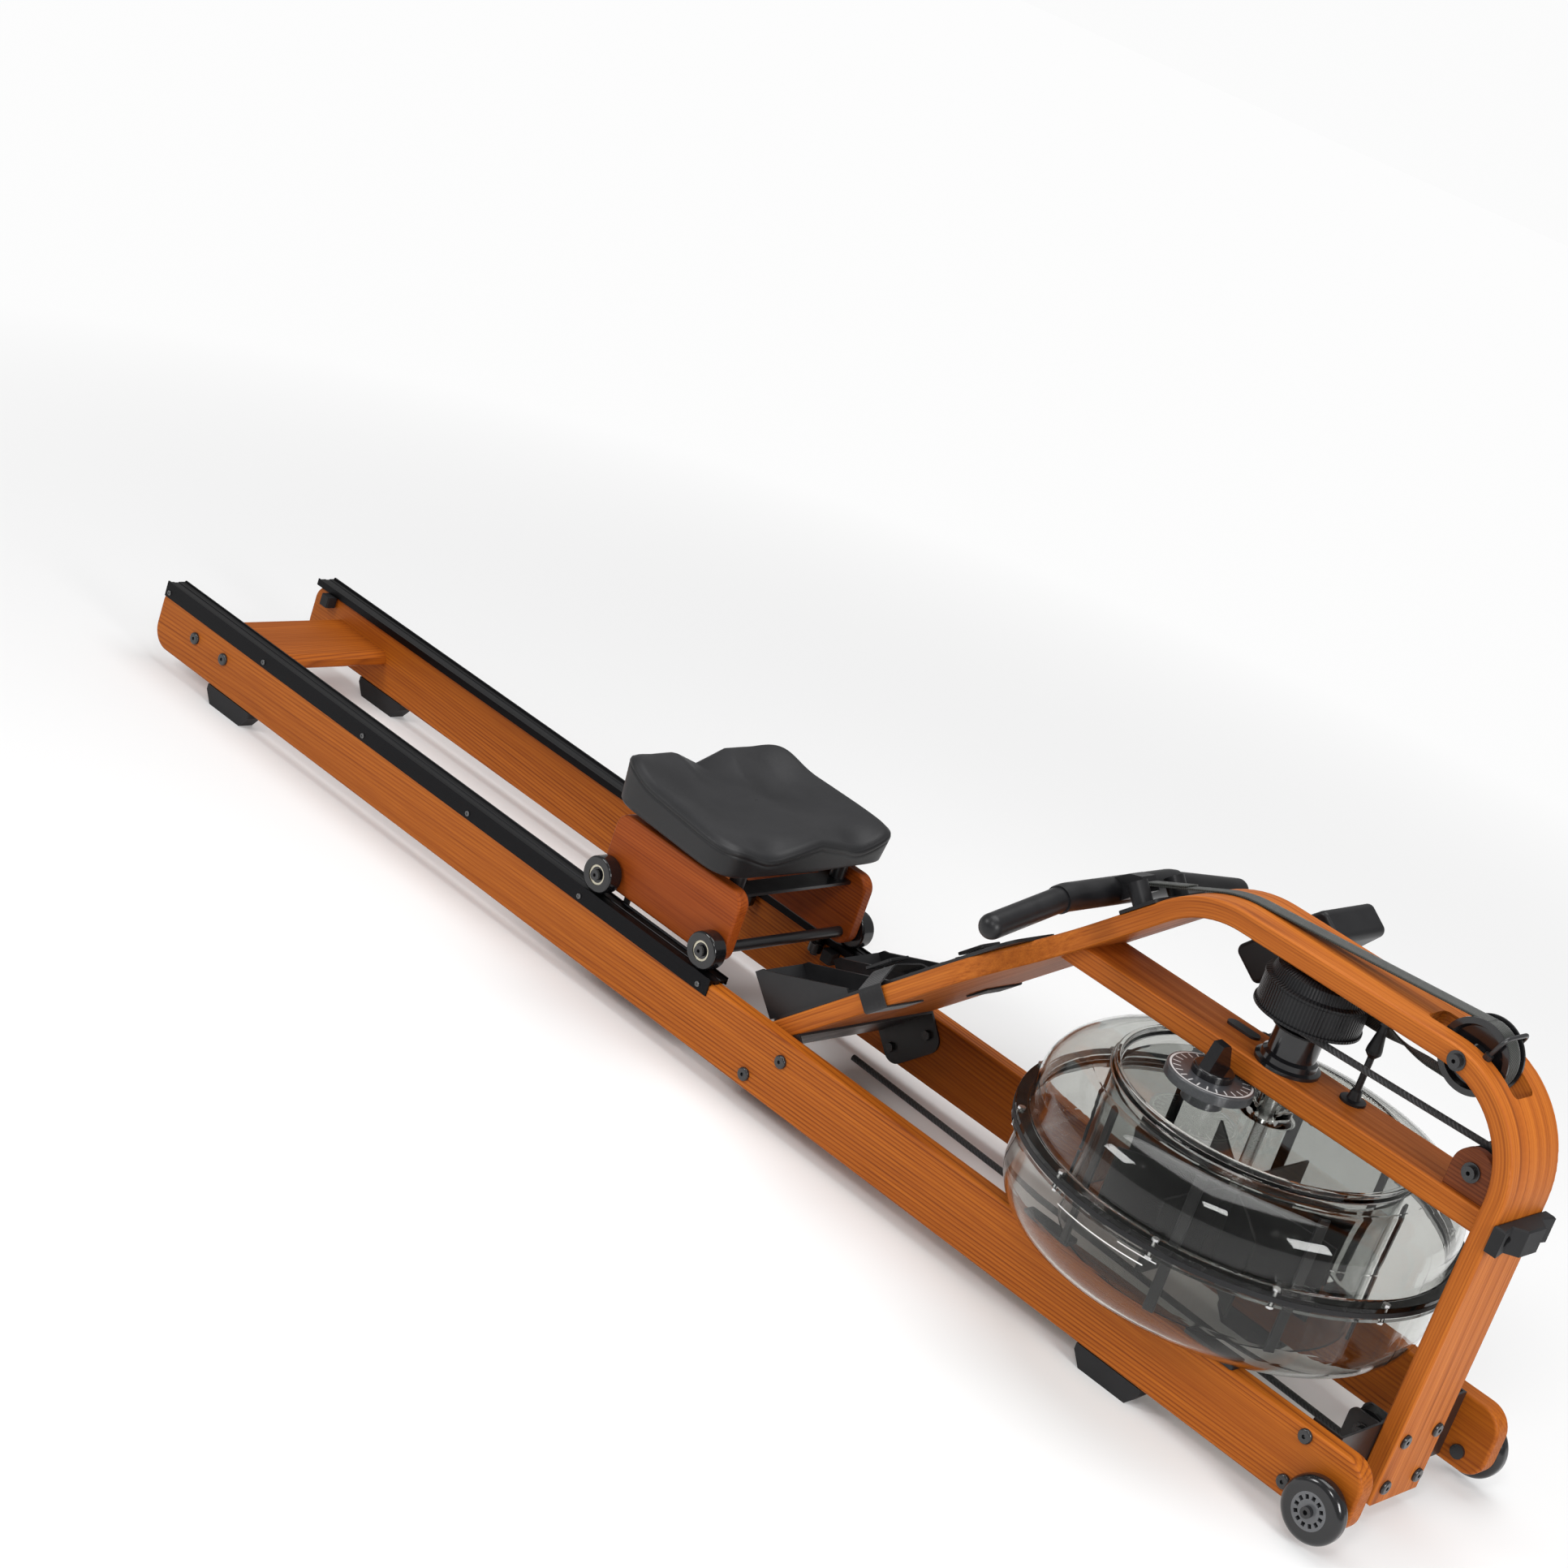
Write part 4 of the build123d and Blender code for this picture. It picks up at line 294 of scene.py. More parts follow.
def smoked(name, tint, roughness, bending):
    """Smoked clear plastic with faint handling marks, which lets the lamps through to what it holds."""
    look = Look(name, Base_Color=tint, Transmission_Weight=1.0, IOR=bending, Specular_IOR_Level=0.6)
    marks = look.noise(look.place, 60.0, 5.0, 0.7)
    look.set(Roughness=look.ramp(marks, (0.45, roughness), (0.8, roughness + 0.03)))
    look.bump(look.noise(look.place, 9.0, 1.0, 0.5), 0.05, 0.002)
    clear = look.node("BsdfTransparent", {"Color": tint})
    surface = look.shader.outputs[0]
    for ray in ("Is Shadow Ray", "Is Diffuse Ray"):
        factor = look.node("LightPath").outputs[ray]
        surface = look.node("MixShader", {0: factor, 1: surface, 2: clear.outputs[0]}).outputs[0]
    look.put(look.tree.nodes["Material Output"].inputs["Surface"], surface)
    return look.material


# A ring is from its inner to its outer radius. The road wheel's has no hole, so it covers the hub.
SEAT_WHEEL_RING, ROAD_WHEEL_RING, FAR_AWAY = (0.0102, 0.0128), (-1.0, 0.0212), 10.0


def wheel_face(name, centres, colour, ring_low, ring_high, ring_colour, roughness):
    """A wheel's plastic with a paler ring on its face, round the nearest of the given axes along Y."""
    look = Look(name, Coat_Weight=0.2, Coat_Roughness=0.12)
    x, _, z = look.parts(look.place)
    nearest = FAR_AWAY
    for centre_x, centre_z in centres:
        out_x, out_z = look.calc("SUBTRACT", x, centre_x), look.calc("SUBTRACT", z, centre_z)
        nearest = look.calc("MINIMUM", nearest, look.length(out_x, out_z))
    in_ring = look.calc("MULTIPLY", look.calc("GREATER_THAN", nearest, ring_low),
                        look.calc("LESS_THAN", nearest, ring_high))
    dust = look.noise(look.place, 140.0, 4.0, 0.65)
    tread = look.mix(look.ramp(dust, (0.5, 0.0), (0.9, 0.06)), colour, (0.07, 0.068, 0.065))
    look.set(Base_Color=look.mix(in_ring, tread, ring_colour),
             Roughness=look.ramp(dust, (0.3, roughness), (0.8, roughness + 0.12)))
    look.bump(dust, 0.04, 0.0002)
    return look.material


DRUM_RIBS = 90


def ribbed_drum(name):
    """Black drum with fine upright ribs round its wall, with painted shade in their hollows."""
    look = Look(name, Specular_IOR_Level=0.3)
    axis = middle("strap_drum")
    x, y, _ = look.parts(look.place)
    turn = look.calc("ARCTAN2", look.calc("SUBTRACT", y, axis.y), look.calc("SUBTRACT", x, axis.x))
    rib = look.calc("SINE", look.calc("MULTIPLY", turn, float(DRUM_RIBS)))
    broad = look.noise(look.place, 40.0, 3.0, 0.6)
    # The colour follows the ribs: painted shade in the hollows and a painted highlight on the crests.
    look.set(Base_Color=look.ramp(rib, (0.1, (0.003, 0.003, 0.004)), (0.9, (0.013, 0.013, 0.014))),
             Roughness=look.ramp(broad, (0.3, 0.30), (0.7, 0.44)))
    look.bump(rib, 0.5, 0.0009)
    return look.material


DIAL_TICKS, TICK_CREST, TICK_RING_R, TICK_HALF = 24, 0.86, 0.040, 0.0045
OUTER_RING_R, OUTER_RING_HALF = 0.047, 0.0012


def dial_print(name):
    """Dark dial with a light ring and plain tick marks."""
    look = Look(name, Coat_Weight=0.4, Coat_Roughness=0.15, Roughness=0.35)
    axis = middle("dial_plate")
    x, y, _ = look.parts(look.place)
    out_x, out_y = look.calc("SUBTRACT", x, axis.x), look.calc("SUBTRACT", y, axis.y)
    reach = look.length(out_x, out_y)
    turn = look.calc("ARCTAN2", out_y, out_x)
    wave = look.calc("COSINE", look.calc("MULTIPLY", turn, float(DIAL_TICKS)))
    tick = look.calc("GREATER_THAN", wave, TICK_CREST)
    from_ticks = look.calc("ABSOLUTE", look.calc("SUBTRACT", reach, TICK_RING_R))
    near_ring = look.calc("LESS_THAN", from_ticks, TICK_HALF)
    from_ring = look.calc("ABSOLUTE", look.calc("SUBTRACT", reach, OUTER_RING_R))
    ring = look.calc("LESS_THAN", from_ring, OUTER_RING_HALF)
    marks = look.calc("MAXIMUM", ring, look.calc("MULTIPLY", tick, near_ring))
    speckle = look.noise(look.place, 500.0, 2.0, 0.5)
    base = look.mix(speckle, (0.035, 0.037, 0.042), (0.075, 0.078, 0.085))
    look.set(Base_Color=look.mix(marks, base, (0.62, 0.62, 0.62)))
    look.bump(marks, 0.1, 0.0002)
    return look.material


def webbing(name, pale, deep, pitch=0.0022, turn=math.radians(40), uv=True):
    """Woven webbing: diagonal twill lines with a rib across them."""
    look = Look(name, Roughness=0.85, Sheen_Weight=0.25, Sheen_Roughness=0.4)
    flat = look.node("UVMap", uv_map="length").outputs[0] if uv else look.place
    lines = 2 * math.pi / pitch / 20
    twill = look.node("TexWave", {"Vector": look.scaled(flat, (1, 1, 1), turn=(0, 0, turn)), "Scale": lines,
                                  "Distortion": 0.6, "Detail": 1.0, "Detail Scale": 2.0}).outputs[1]
    cross = look.node("TexWave", {"Vector": look.scaled(flat, (1, 1, 1), turn=(0, 0, turn + math.pi / 2)),
                                  "Scale": lines * 1.7, "Distortion": 0.4}).outputs[1]
    weave = look.calc("MULTIPLY", twill, look.calc("ADD", look.calc("MULTIPLY", cross, 0.4), 0.6))
    fuzz = look.noise(look.place, 1800.0, 2.0, 0.6)
    look.set(Base_Color=look.mix(weave, deep, look.mix(fuzz, pale, tuple(c * 1.5 for c in pale))))
    look.bump(weave, 0.6, 0.0006)
    return look.material


def braid(name):
    """Braided sleeve on the elastic cord: two sets of slanting bands that cross."""
    look = Look(name, Roughness=0.7, Sheen_Weight=0.2)
    first = look.node("TexWave", {"Vector": look.scaled(look.place, (1, 1, 1), turn=(0.6, 0.5, 0.7)),
                                  "Scale": 90.0}).outputs[1]
    second = look.node("TexWave", {"Vector": look.scaled(look.place, (1, 1, 1), turn=(-0.6, 0.5, -0.7)),
                                   "Scale": 90.0}).outputs[1]
    weave = look.calc("MULTIPLY", first, second)
    look.set(Base_Color=look.mix(weave, (0.008, 0.008, 0.009), (0.055, 0.055, 0.058)))
    look.bump(weave, 0.5, 0.0005)
    return look.material


def seat_skin(name):
    """Self-skinned foam: matte and finely textured, with painted top light: greyer in patches where it faces
    up.
    """
    look = Look(name, Specular_IOR_Level=0.42)
    cells = look.node("TexVoronoi", {"Vector": look.place, "Scale": 620.0}, feature="DISTANCE_TO_EDGE")
    pebble = cells.outputs[0]
    fine = look.noise(look.place, 1400.0, 3.0, 0.6)
    broad = look.noise(look.place, 16.0, 3.0, 0.55)
    up = look.parts(look.node("TexCoord").outputs["Normal"])[2]
    facing_up = look.ramp(up, (0.55, 0.0), (0.98, 1.0))
    # Faces that point up are made lighter in broad patches: painted top light.
    wear_and_painted_top_light = look.calc("MULTIPLY", facing_up, look.ramp(broad, (0.3, 0.4), (0.7, 1.0)))
    look.set(Base_Color=look.mix(wear_and_painted_top_light, (0.008, 0.008, 0.009), (0.020, 0.020, 0.022)),
             Roughness=look.ramp(fine, (0.3, 0.40), (0.7, 0.54)))
    look.bump(look.calc("ADD", pebble, look.calc("MULTIPLY", fine, 0.4)), 0.35, 0.0005)
    return look.material


rail_wood = wood("rail_wood", (0.47, 0.130, 0.009), (0.34, 0.082, 0.006), (0.13, 0.024, 0.003))
cross_wood = wood("cross_wood", (0.45, 0.118, 0.010), (0.32, 0.076, 0.007), (0.13, 0.024, 0.003), crosswise,
                  heart=(0.0, -0.04))
bent_wood = wood("bent_wood", (0.54, 0.160, 0.018), (0.39, 0.100, 0.011), (0.16, 0.036, 0.006), board_lift,
                 ring_step=0.0036, drift=0.02, heart=(0.0, 0.35), streaky=0.58)
tank_board_wood = wood("tank_board_wood", (0.46, 0.128, 0.014), (0.34, 0.084, 0.009), (0.14, 0.030, 0.005),
                       heart=(0.0, 0.20), streaky=0.55)
carriage_wood = wood("carriage_wood", (0.36, 0.076, 0.007), (0.27, 0.050, 0.005), (0.12, 0.019, 0.003),
                     heart=(0.0, -0.10), drift=0.03)
ear_wood = wood("ear_wood", (0.22, 0.060, 0.018), (0.13, 0.034, 0.012), (0.05, 0.012, 0.005),
                heart=(0.0, 0.3))
track_metal = extruded("track_metal")
steel_black = painted("steel_black", (0.008, 0.008, 0.009))
bolt_black = painted("bolt_black", (0.010, 0.010, 0.011), 0.24)
steel_bright = bright_steel("steel_bright", 1.0)
steel_dull = bright_steel("steel_dull", 0.26)
tank_clear = smoked("tank_clear", (0.78, 0.785, 0.765), 0.0, 1.34)
inner_clear = smoked("inner_clear", (0.58, 0.59, 0.58), 0.0, 1.12)
rubber = moulded("rubber", (0.009, 0.009, 0.010), 0.62, 700.0)
handle_rubber = moulded("handle_rubber", (0.007, 0.007, 0.008), 0.36, 1200.0)
plastic_black = moulded("plastic_black", (0.006, 0.006, 0.007), 0.42)
plastic_gloss = moulded("plastic_gloss", (0.006, 0.006, 0.007), 0.20, 500.0, 0.00006, 0.5)
cup_plastic = moulded("cup_plastic", (0.011, 0.011, 0.012), 0.40, 1100.0)
screen_glass = moulded("screen_glass", (0.045, 0.055, 0.052), 0.16, 300.0, 0.00003, 0.8)
dial_look = dial_print("dial_look")
drum_look = ribbed_drum("drum_look")
foot_web = webbing("foot_web", (0.028, 0.028, 0.030), (0.006, 0.006, 0.007), 0.003, math.radians(90),
                   uv=False)
strap_web = webbing("strap_web", (0.042, 0.046, 0.039), (0.008, 0.009, 0.008))
cord_braid = braid("cord_braid")
pad_skin = seat_skin("pad_skin")
seat_axes = [(middle(pair).x, middle(pair).z) for pair in ("front_seat_wheels", "rear_seat_wheels")]
seat_wheel_look = wheel_face("seat_wheel_look", seat_axes, (0.007, 0.007, 0.008), *SEAT_WHEEL_RING,
                             (0.70, 0.65, 0.50), 0.12)
road_axis = middle("left_transport_wheel")
road_wheel_look = wheel_face("road_wheel_look", [(road_axis.x, road_axis.z)], (0.008, 0.008, 0.009),
                             *ROAD_WHEEL_RING, (0.11, 0.113, 0.12), 0.12)


LOOKS = {
    rail_wood: ("right_rail", "left_rail"),
    cross_wood: ("rear_cross_board",),
    bent_wood: ("bent_board",),
    tank_board_wood: ("tank_board",),
    carriage_wood: ("carriage_boards",),
    ear_wood: ("pulley_ears",),
    track_metal: ("right_track", "left_track"),
    steel_bright: ("tank_screws", "impeller_shaft"),
    steel_dull: ("track_screws",),
    steel_black: ("foot_bracket", "front_bracket", "pulley_guard", "seat_frame", "carriage_axles",
                  "monitor_arm"),
    bolt_black: ("frame_bolts", "pulley_axles", "wheel_bolts"),
    tank_clear: ("tank_lower_shell", "tank_upper_shell"),
    inner_clear: ("inner_tank",),
    rubber: ("rubber_feet", "track_stops", "post_bumper", "tank_gasket"),
    handle_rubber: ("handle_grips", "handle_bar"),
    plastic_black: ("handle_cradle", "strap_buckles", "strap_guide", "impeller", "monitor_body",
                    "ear_pulley", "lower_pulley", "tank_supports"),
    cup_plastic: ("right_foot_plate", "left_foot_plate", "right_heel_cup", "left_heel_cup"),
    plastic_gloss: ("bearing_housing", "top_pulley", "resistance_knob", "front_left_guide_roller",
                    "front_right_guide_roller", "rear_left_guide_roller", "rear_right_guide_roller"),
    screen_glass: ("monitor_screen",),
    dial_look: ("dial_plate",),
    drum_look: ("strap_drum",),
    foot_web: ("foot_straps",),
    cord_braid: ("bungee_cord",),
    seat_wheel_look: ("front_seat_wheels", "rear_seat_wheels"),
    road_wheel_look: ("right_transport_wheel", "left_transport_wheel"),
}
for material, node_names in LOOKS.items():
    for node_name in node_names:
        node = frame["nodes"][node_name]
        node.data.materials.clear()
        node.data.materials.append(material)


# ---------------------------------------------------------------- mesh kit
def add_mesh(name, points, faces, material, smooth=True):
    """A new object from points and faces in the row frame."""
    mesh = bpy.data.meshes.new(name)
    mesh.from_pydata([tuple(p) for p in points], [], faces)
    mesh.materials.append(material)
    mesh.polygons.foreach_set("use_smooth", [smooth] * len(mesh.polygons))
    made = bpy.data.objects.new(name, mesh)
    bpy.context.scene.collection.objects.link(made)
    return made


def smoothstep(low, high, value):
    t = np.clip((value - low) / (high - low), 0, 1)
    return t * t * (3 - 2 * t)


def hump(value, centre, spread):
    return np.exp(-((value - centre) / spread) ** 2)


# ---------------------------------------------------------------- seat pad
PAD_SPOKES, PAD_RINGS = 240, 70
PAD_CORNER_POWER, PAD_RING_POWER = 6.5, 1.15
PAD_TOP_EDGE, PAD_WALL, PAD_ROUND, PAD_GROWN = 0.994, 0.996, 0.0065, 1.03
PAD_REAR_HALF, PAD_FRONT_HALF, PAD_FORWARD, PAD_FRONT_DIP = 0.140, 0.156, 0.004, 0.004
PAD_DROP, PAD_RIM, PAD_HORN, PAD_NOTCH, PAD_DISH, PAD_RIDGE, PAD_THIGH = (
    0.0095, 0.0075, 0.0150, 0.0050, 0.0080, 0.0065, 0.0130)
PAD_LIP_DROP, PAD_FOOT_LIFT, PAD_TAPER, PAD_FOOT_ROUND = 0.010, 0.0005, 0.020, 0.012
PAD_LIP = ((1.0, 0.002), (1.0, 0.0042), (0.993, 0.0050), (0.993, 0.0060), (0.998, 0.0068),
           (PAD_WALL, PAD_LIP_DROP))


def rounded(share):
    """A cosine or sine, drawn out so that a circle becomes a square with round corners."""
    return np.sign(share) * np.abs(share) ** (2 / PAD_CORNER_POWER)


def pad_outline(turn, shrink):
    """Points of the pad's outline in plan, which widens to the front, at a share of its full size."""
    low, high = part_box("seat_pad")
    mid_x, half_x = (low.x + high.x) / 2, (high.x - low.x) / 2
    u, v = rounded(np.cos(turn)), rounded(np.sin(turn))
    front_edge = -PAD_FRONT_DIP * smoothstep(0.0, 1.0, u) * hump(np.abs(v), 0.52, 0.28)
    half_y = PAD_REAR_HALF + (PAD_FRONT_HALF - PAD_REAR_HALF) * (u + 1) / 2
    x = mid_x + PAD_FORWARD + (u * half_x * PAD_GROWN + front_edge) * shrink
    return x, v * half_y * PAD_GROWN * shrink


def pad_top(x, y):
    """The height of the pad's upper face: dished, with rear horns, side rims and thigh recesses.

    u runs from -1 at the rear to 1 at the front, and v from -1 at the right to 1 at the left.
    """
    low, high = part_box("seat_pad")
    u = (x - (low.x + high.x) / 2) / ((high.x - low.x) / 2)
    v = y / PAD_FRONT_HALF
    side = np.abs(v)
    inner_side = np.where(v > 0, smoothstep(0.05, 0.22, side), smoothstep(0.10, 0.34, side))
    height = high.z - PAD_DROP
    height = height + PAD_RIM * smoothstep(0.55, 0.95, side) * (1 - 0.6 * smoothstep(-0.1, 1.0, u))
    height = height + PAD_HORN * hump(u, -0.86, 0.36) * inner_side
    height = height - PAD_NOTCH * hump(u, -1.0, 0.5) * hump(v, 0.0, 0.12)
    height = height - PAD_DISH * hump(u, -0.10, 0.45) * hump(side, 0.40, 0.26)
    height = height + PAD_RIDGE * smoothstep(0.2, 0.95, u) * hump(v, 0.10, 0.20)
    height = height - PAD_THIGH * smoothstep(0.68, 1.0, u) * hump(side, 0.50, 0.26)
    return height


def pad_rings():
    """Rings of points from the middle of the upper face over the lip, down the wall and in underneath."""
    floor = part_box("seat_pad")[0].z + PAD_FOOT_LIFT
    turns = np.linspace(0, 2 * math.pi, PAD_SPOKES, endpoint=False)
    rings = []
    for step in range(1, PAD_RINGS + 1):
        shrink = 1 - (1 - step / PAD_RINGS) ** PAD_RING_POWER
        x, y = pad_outline(turns, shrink * PAD_TOP_EDGE)
        round_off = PAD_ROUND * (1 - np.sqrt(1 - smoothstep(0.90, 1.0, shrink) ** 2 * 0.98))
        rings.append((x, y, pad_top(x, y) - round_off))
    edge_x, edge_y = pad_outline(turns, PAD_TOP_EDGE)
    edge_z = pad_top(edge_x, edge_y) - PAD_ROUND
    for shrink, drop in PAD_LIP:
        x, y = pad_outline(turns, shrink)
        rings.append((x, y, edge_z - drop))
    for share in (0.25, 0.5, 0.75, 0.93, 1.0):
        x, y = pad_outline(turns, PAD_WALL - PAD_TAPER * share - PAD_FOOT_ROUND * (share > 0.95))
        rings.append((x, y, (edge_z - PAD_LIP_DROP) * (1 - share) + floor * share))
    for shrink in (0.75, 0.4, 0.1):
        x, y = pad_outline(turns, shrink)
        rings.append((x, y, np.full(PAD_SPOKES, floor)))
    return rings


def build_seat_pad():
    """The pad as one closed form through its rings."""
    rings, centre_x = pad_rings(), middle("seat_pad").x
    points = [(centre_x, 0.0, float(pad_top(centre_x, 0.0)))]
    for x, y, z in rings:
        points += list(zip(x.tolist(), y.tolist(), z.tolist()))
    points.append((centre_x, 0.0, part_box("seat_pad")[0].z + PAD_FOOT_LIFT))
    faces = [(0, 1 + k, 1 + (k + 1) % PAD_SPOKES) for k in range(PAD_SPOKES)]
    for ring in range(len(rings) - 1):
        first, second = 1 + ring * PAD_SPOKES, 1 + (ring + 1) * PAD_SPOKES
        for k in range(PAD_SPOKES):
            after = (k + 1) % PAD_SPOKES
            faces.append((first + k, second + k, second + after, first + after))
    start, last = 1 + (len(rings) - 1) * PAD_SPOKES, len(points) - 1
    faces += [(last, start + (k + 1) % PAD_SPOKES, start + k) for k in range(PAD_SPOKES)]
    pad = add_mesh("seat_cushion", points, faces, pad_skin)
    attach(pad, "seat")
    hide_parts("seat_pad")


build_seat_pad()

# ---------------------------------------------------------------- drive strap
WEB_COLUMNS, WEB_STEP, WEB_EDGE, SEAM_FROM_HANDLE = 8, 0.003, 0.7, 0.055
BEND_GAP, FOLD_GAP = 0.0004, 0.0001


def sweep_web(name, stations, material):
    """Webbing through stations of (middle, across, out), a closed band with its length and width as UV."""
    points, rows, gone = [], [], 0.0
    for number, (centre, across, out) in enumerate(stations):
        if number:
            gone += (centre - stations[number - 1][0]).length
        rows.append(gone)
        for face_side in (0.5, -0.5):
            columns = range(WEB_COLUMNS + 1) if face_side > 0 else range(WEB_COLUMNS, -1, -1)
            for column in columns:
                share = column / WEB_COLUMNS - 0.5
                thin = WEB_EDGE if column in (0, WEB_COLUMNS) else 1.0
                points.append(centre + across * share * STRAP_WIDTH + out * face_side * STRAP_THICK * thin)
    loop = 2 * (WEB_COLUMNS + 1)
    faces = [tuple(range(loop))[::-1]]
    for row in range(len(stations) - 1):
        for k in range(loop):
            faces.append((row * loop + k, row * loop + (k + 1) % loop, (row + 1) * loop + (k + 1) % loop,
                          (row + 1) * loop + k))
    faces.append(tuple(range((len(stations) - 1) * loop, len(stations) * loop)))
    made = add_mesh(name, points, faces, material)
    layer = made.data.uv_layers.new(name="length")
    for corner in made.data.loops:
        row, k = divmod(corner.vertex_index, loop)
        column = k if k <= WEB_COLUMNS else loop - 1 - k
        layer.data[corner.index].uv = (rows[row], column / WEB_COLUMNS * STRAP_WIDTH)
    return made


def straight(start, end, across, out):
    steps = max(2, round((end - start).length / WEB_STEP))
    return [(start.lerp(end, k / steps), across, out) for k in range(steps + 1)]


def arc(centre, radius, first, last):
    """Stations on an arc about an axis along Y, from one angle off the vertical to another, in radians."""
    steps = max(2, round(abs(last - first) * radius / WEB_STEP))
    made = []
    for k in range(steps + 1):
        angle = first + (last - first) * k / steps
        out = Vector((math.sin(angle), 0, math.cos(angle)))
        made.append((centre + out * radius, Vector((0, 1, 0)), out))
    return made


def build_strap():
    """The strap in three pieces: the pull from handle to pulley, its sewn fold, and the feed to the drum.

    The feed starts on the pulley and makes a quarter turn on its way to the drum's wall.
    """
    end = on_board(STRAP_END_ALONG, STRAP_END_ABOVE)
    pulley = middle("top_pulley")
    bend = Vector((REAR_BEND[0], 0, REAR_BEND[1]))
    bend_r = REAR_BEND_R + STRAP_THICK / 2 + BEND_GAP
    to_bend = bend - end
    lean = math.atan2(to_bend.z, to_bend.x) + math.asin(bend_r / to_bend.length)
    to_pulley = pulley - bend
    level = math.atan2(to_pulley.z, to_pulley.x) + math.asin((PULLEY_RUN_R - bend_r) / to_pulley.length)
    over_bend = arc(bend, bend_r, -lean, -level)
    over_pulley = arc(pulley, PULLEY_RUN_R, -level, math.pi)
    across, lean_out = Vector((0, 1, 0)), Vector((-math.sin(lean), 0, math.cos(lean)))
    level_out = Vector((-math.sin(level), 0, math.cos(level)))
    pull = straight(end, over_bend[0][0], across, lean_out) + over_bend[1:]
    pull += straight(over_bend[-1][0], over_pulley[0][0], across, level_out)[1:]
    strap = sweep_web("strap_pull", pull, strap_web)
    fold_start = end + (over_bend[0][0] - end).normalized() * SEAM_FROM_HANDLE
    fold_lift = lean_out * (STRAP_THICK + FOLD_GAP)
    fold_run = straight(end + fold_lift, fold_start + fold_lift, across, lean_out)
    fold = sweep_web("strap_fold", fold_run, strap_web)
    for piece in (strap, fold):
        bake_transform(piece)
    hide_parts("drive_strap")

    drum = middle("strap_drum")
    drum_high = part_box("drive_strap")[1]
    return_start = Vector((pulley.x - RETURN_STRAIGHT, 0, pulley.z - PULLEY_RUN_R))
    under = Vector((0, 0, -1))
    feed = over_pulley + straight(over_pulley[-1][0], return_start, across, under)[1:]
    drum_r = drum_high.y
    reach = return_start.x - drum.x
    angle = math.asin(drum_r / reach)
    touch = Vector((drum.x + drum_r * math.sin(angle), drum_r * math.cos(angle), STRAP_TOUCH_Z))
    way = touch - return_start
    side = Vector((0, 0, 1)).cross(way).normalized()
    steps = round(way.length / WEB_STEP)
    for k in range(1, steps + 1):
        turn = math.pi / 2 * smoothstep(0.0, 1.0, k / steps)
        rolled = Matrix.Rotation(turn, 3, way)
        feed.append((return_start + way * (k / steps), rolled @ -side, rolled @ under))
    rest = sweep_web("strap_feed", feed, strap_web)
    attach(rest, "frame")
    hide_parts("drive_strap")


build_strap()

# ---------------------------------------------------------------- bars and fill lines of the tank
BAR_COUNT, BAR_WIDTH, BAR_THICK, BAR_GAP, BAR_START = 8, 0.013, 0.004, 0.004, 0.35
BAR_FOOT, BAR_SHORT, BAR_ROUND = 0.001, 0.006, 0.0012
BOX_FACES = ((0, 3, 2, 1), (4, 5, 6, 7), (0, 1, 5, 4), (1, 2, 6, 5), (2, 3, 7, 6), (3, 0, 4, 7))
FILL_LINES = ((math.radians(276), math.radians(287), 0.210), (math.radians(256), math.radians(284), 0.201))
FILL_LINE_HEIGHT, FILL_LINE_THICK, FILL_LINE_LIFT, FILL_LINE_STEPS = 0.0014, 0.0003, 0.0004, 16
LINE_SIDES = ((0, 2), (2, 3), (3, 1), (1, 0))


def build_tank_bars():
    """Black uprights round the inner tank."""
    axis = middle("tank_lower_shell")
    inner_low, inner_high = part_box("inner_tank")
    near = (inner_high.x - inner_low.x) / 2 + BAR_GAP
    far = near + BAR_THICK
    points, faces = [], []
    for number in range(BAR_COUNT):
        turn = 2 * math.pi * (number + BAR_START) / BAR_COUNT
        out = Vector((math.cos(turn), math.sin(turn), 0))
        along = Vector((-math.sin(turn), math.cos(turn), 0))
        first = len(points)
        for z in (inner_low.z + BAR_FOOT, inner_high.z - BAR_SHORT):
            for reach, side in ((near, -0.5), (far, -0.5), (far, 0.5), (near, 0.5)):
                place = out * reach + along * side * BAR_WIDTH
                points.append((axis.x + place.x, axis.y + place.y, z))
        faces += [tuple(first + k for k in face) for face in BOX_FACES]
    bars = add_mesh("tank_bars", points, faces, plastic_black, smooth=False)
    rounding = bars.modifiers.new("rounding", "BEVEL")
    rounding.width, rounding.segments = BAR_ROUND, 2
    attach(bars, "frame")


def build_fill_lines():
    """Plain white lines on the tank's wall, without lettering."""
    axis, shell_r = middle("tank_lower_shell"), TANK_WALL_R + FILL_LINE_LIFT
    white = moulded("line_white", (0.75, 0.75, 0.74), 0.45, 300.0, 0.00004)
    points, faces = [], []
    for start, end, z in FILL_LINES:
        first = len(points)
        for step in range(FILL_LINE_STEPS + 1):
            turn = start + (end - start) * step / FILL_LINE_STEPS
            for reach in (shell_r - FILL_LINE_THICK, shell_r):
                x, y = axis.x + reach * math.cos(turn), axis.y + reach * math.sin(turn)
                points += [(x, y, z), (x, y, z + FILL_LINE_HEIGHT)]
        for step in range(FILL_LINE_STEPS):
            here, there = first + 4 * step, first + 4 * step + 4
            faces += [(here + a, there + a, there + b, here + b) for a, b in LINE_SIDES]
        end_row = first + 4 * FILL_LINE_STEPS
        faces += [(first, first + 2, first + 3, first + 1), (end_row, end_row + 1, end_row + 3, end_row + 2)]
    lines = add_mesh("tank_fill_lines", points, faces, white, smooth=False)
    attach(lines, "frame")


build_tank_bars()
build_fill_lines()

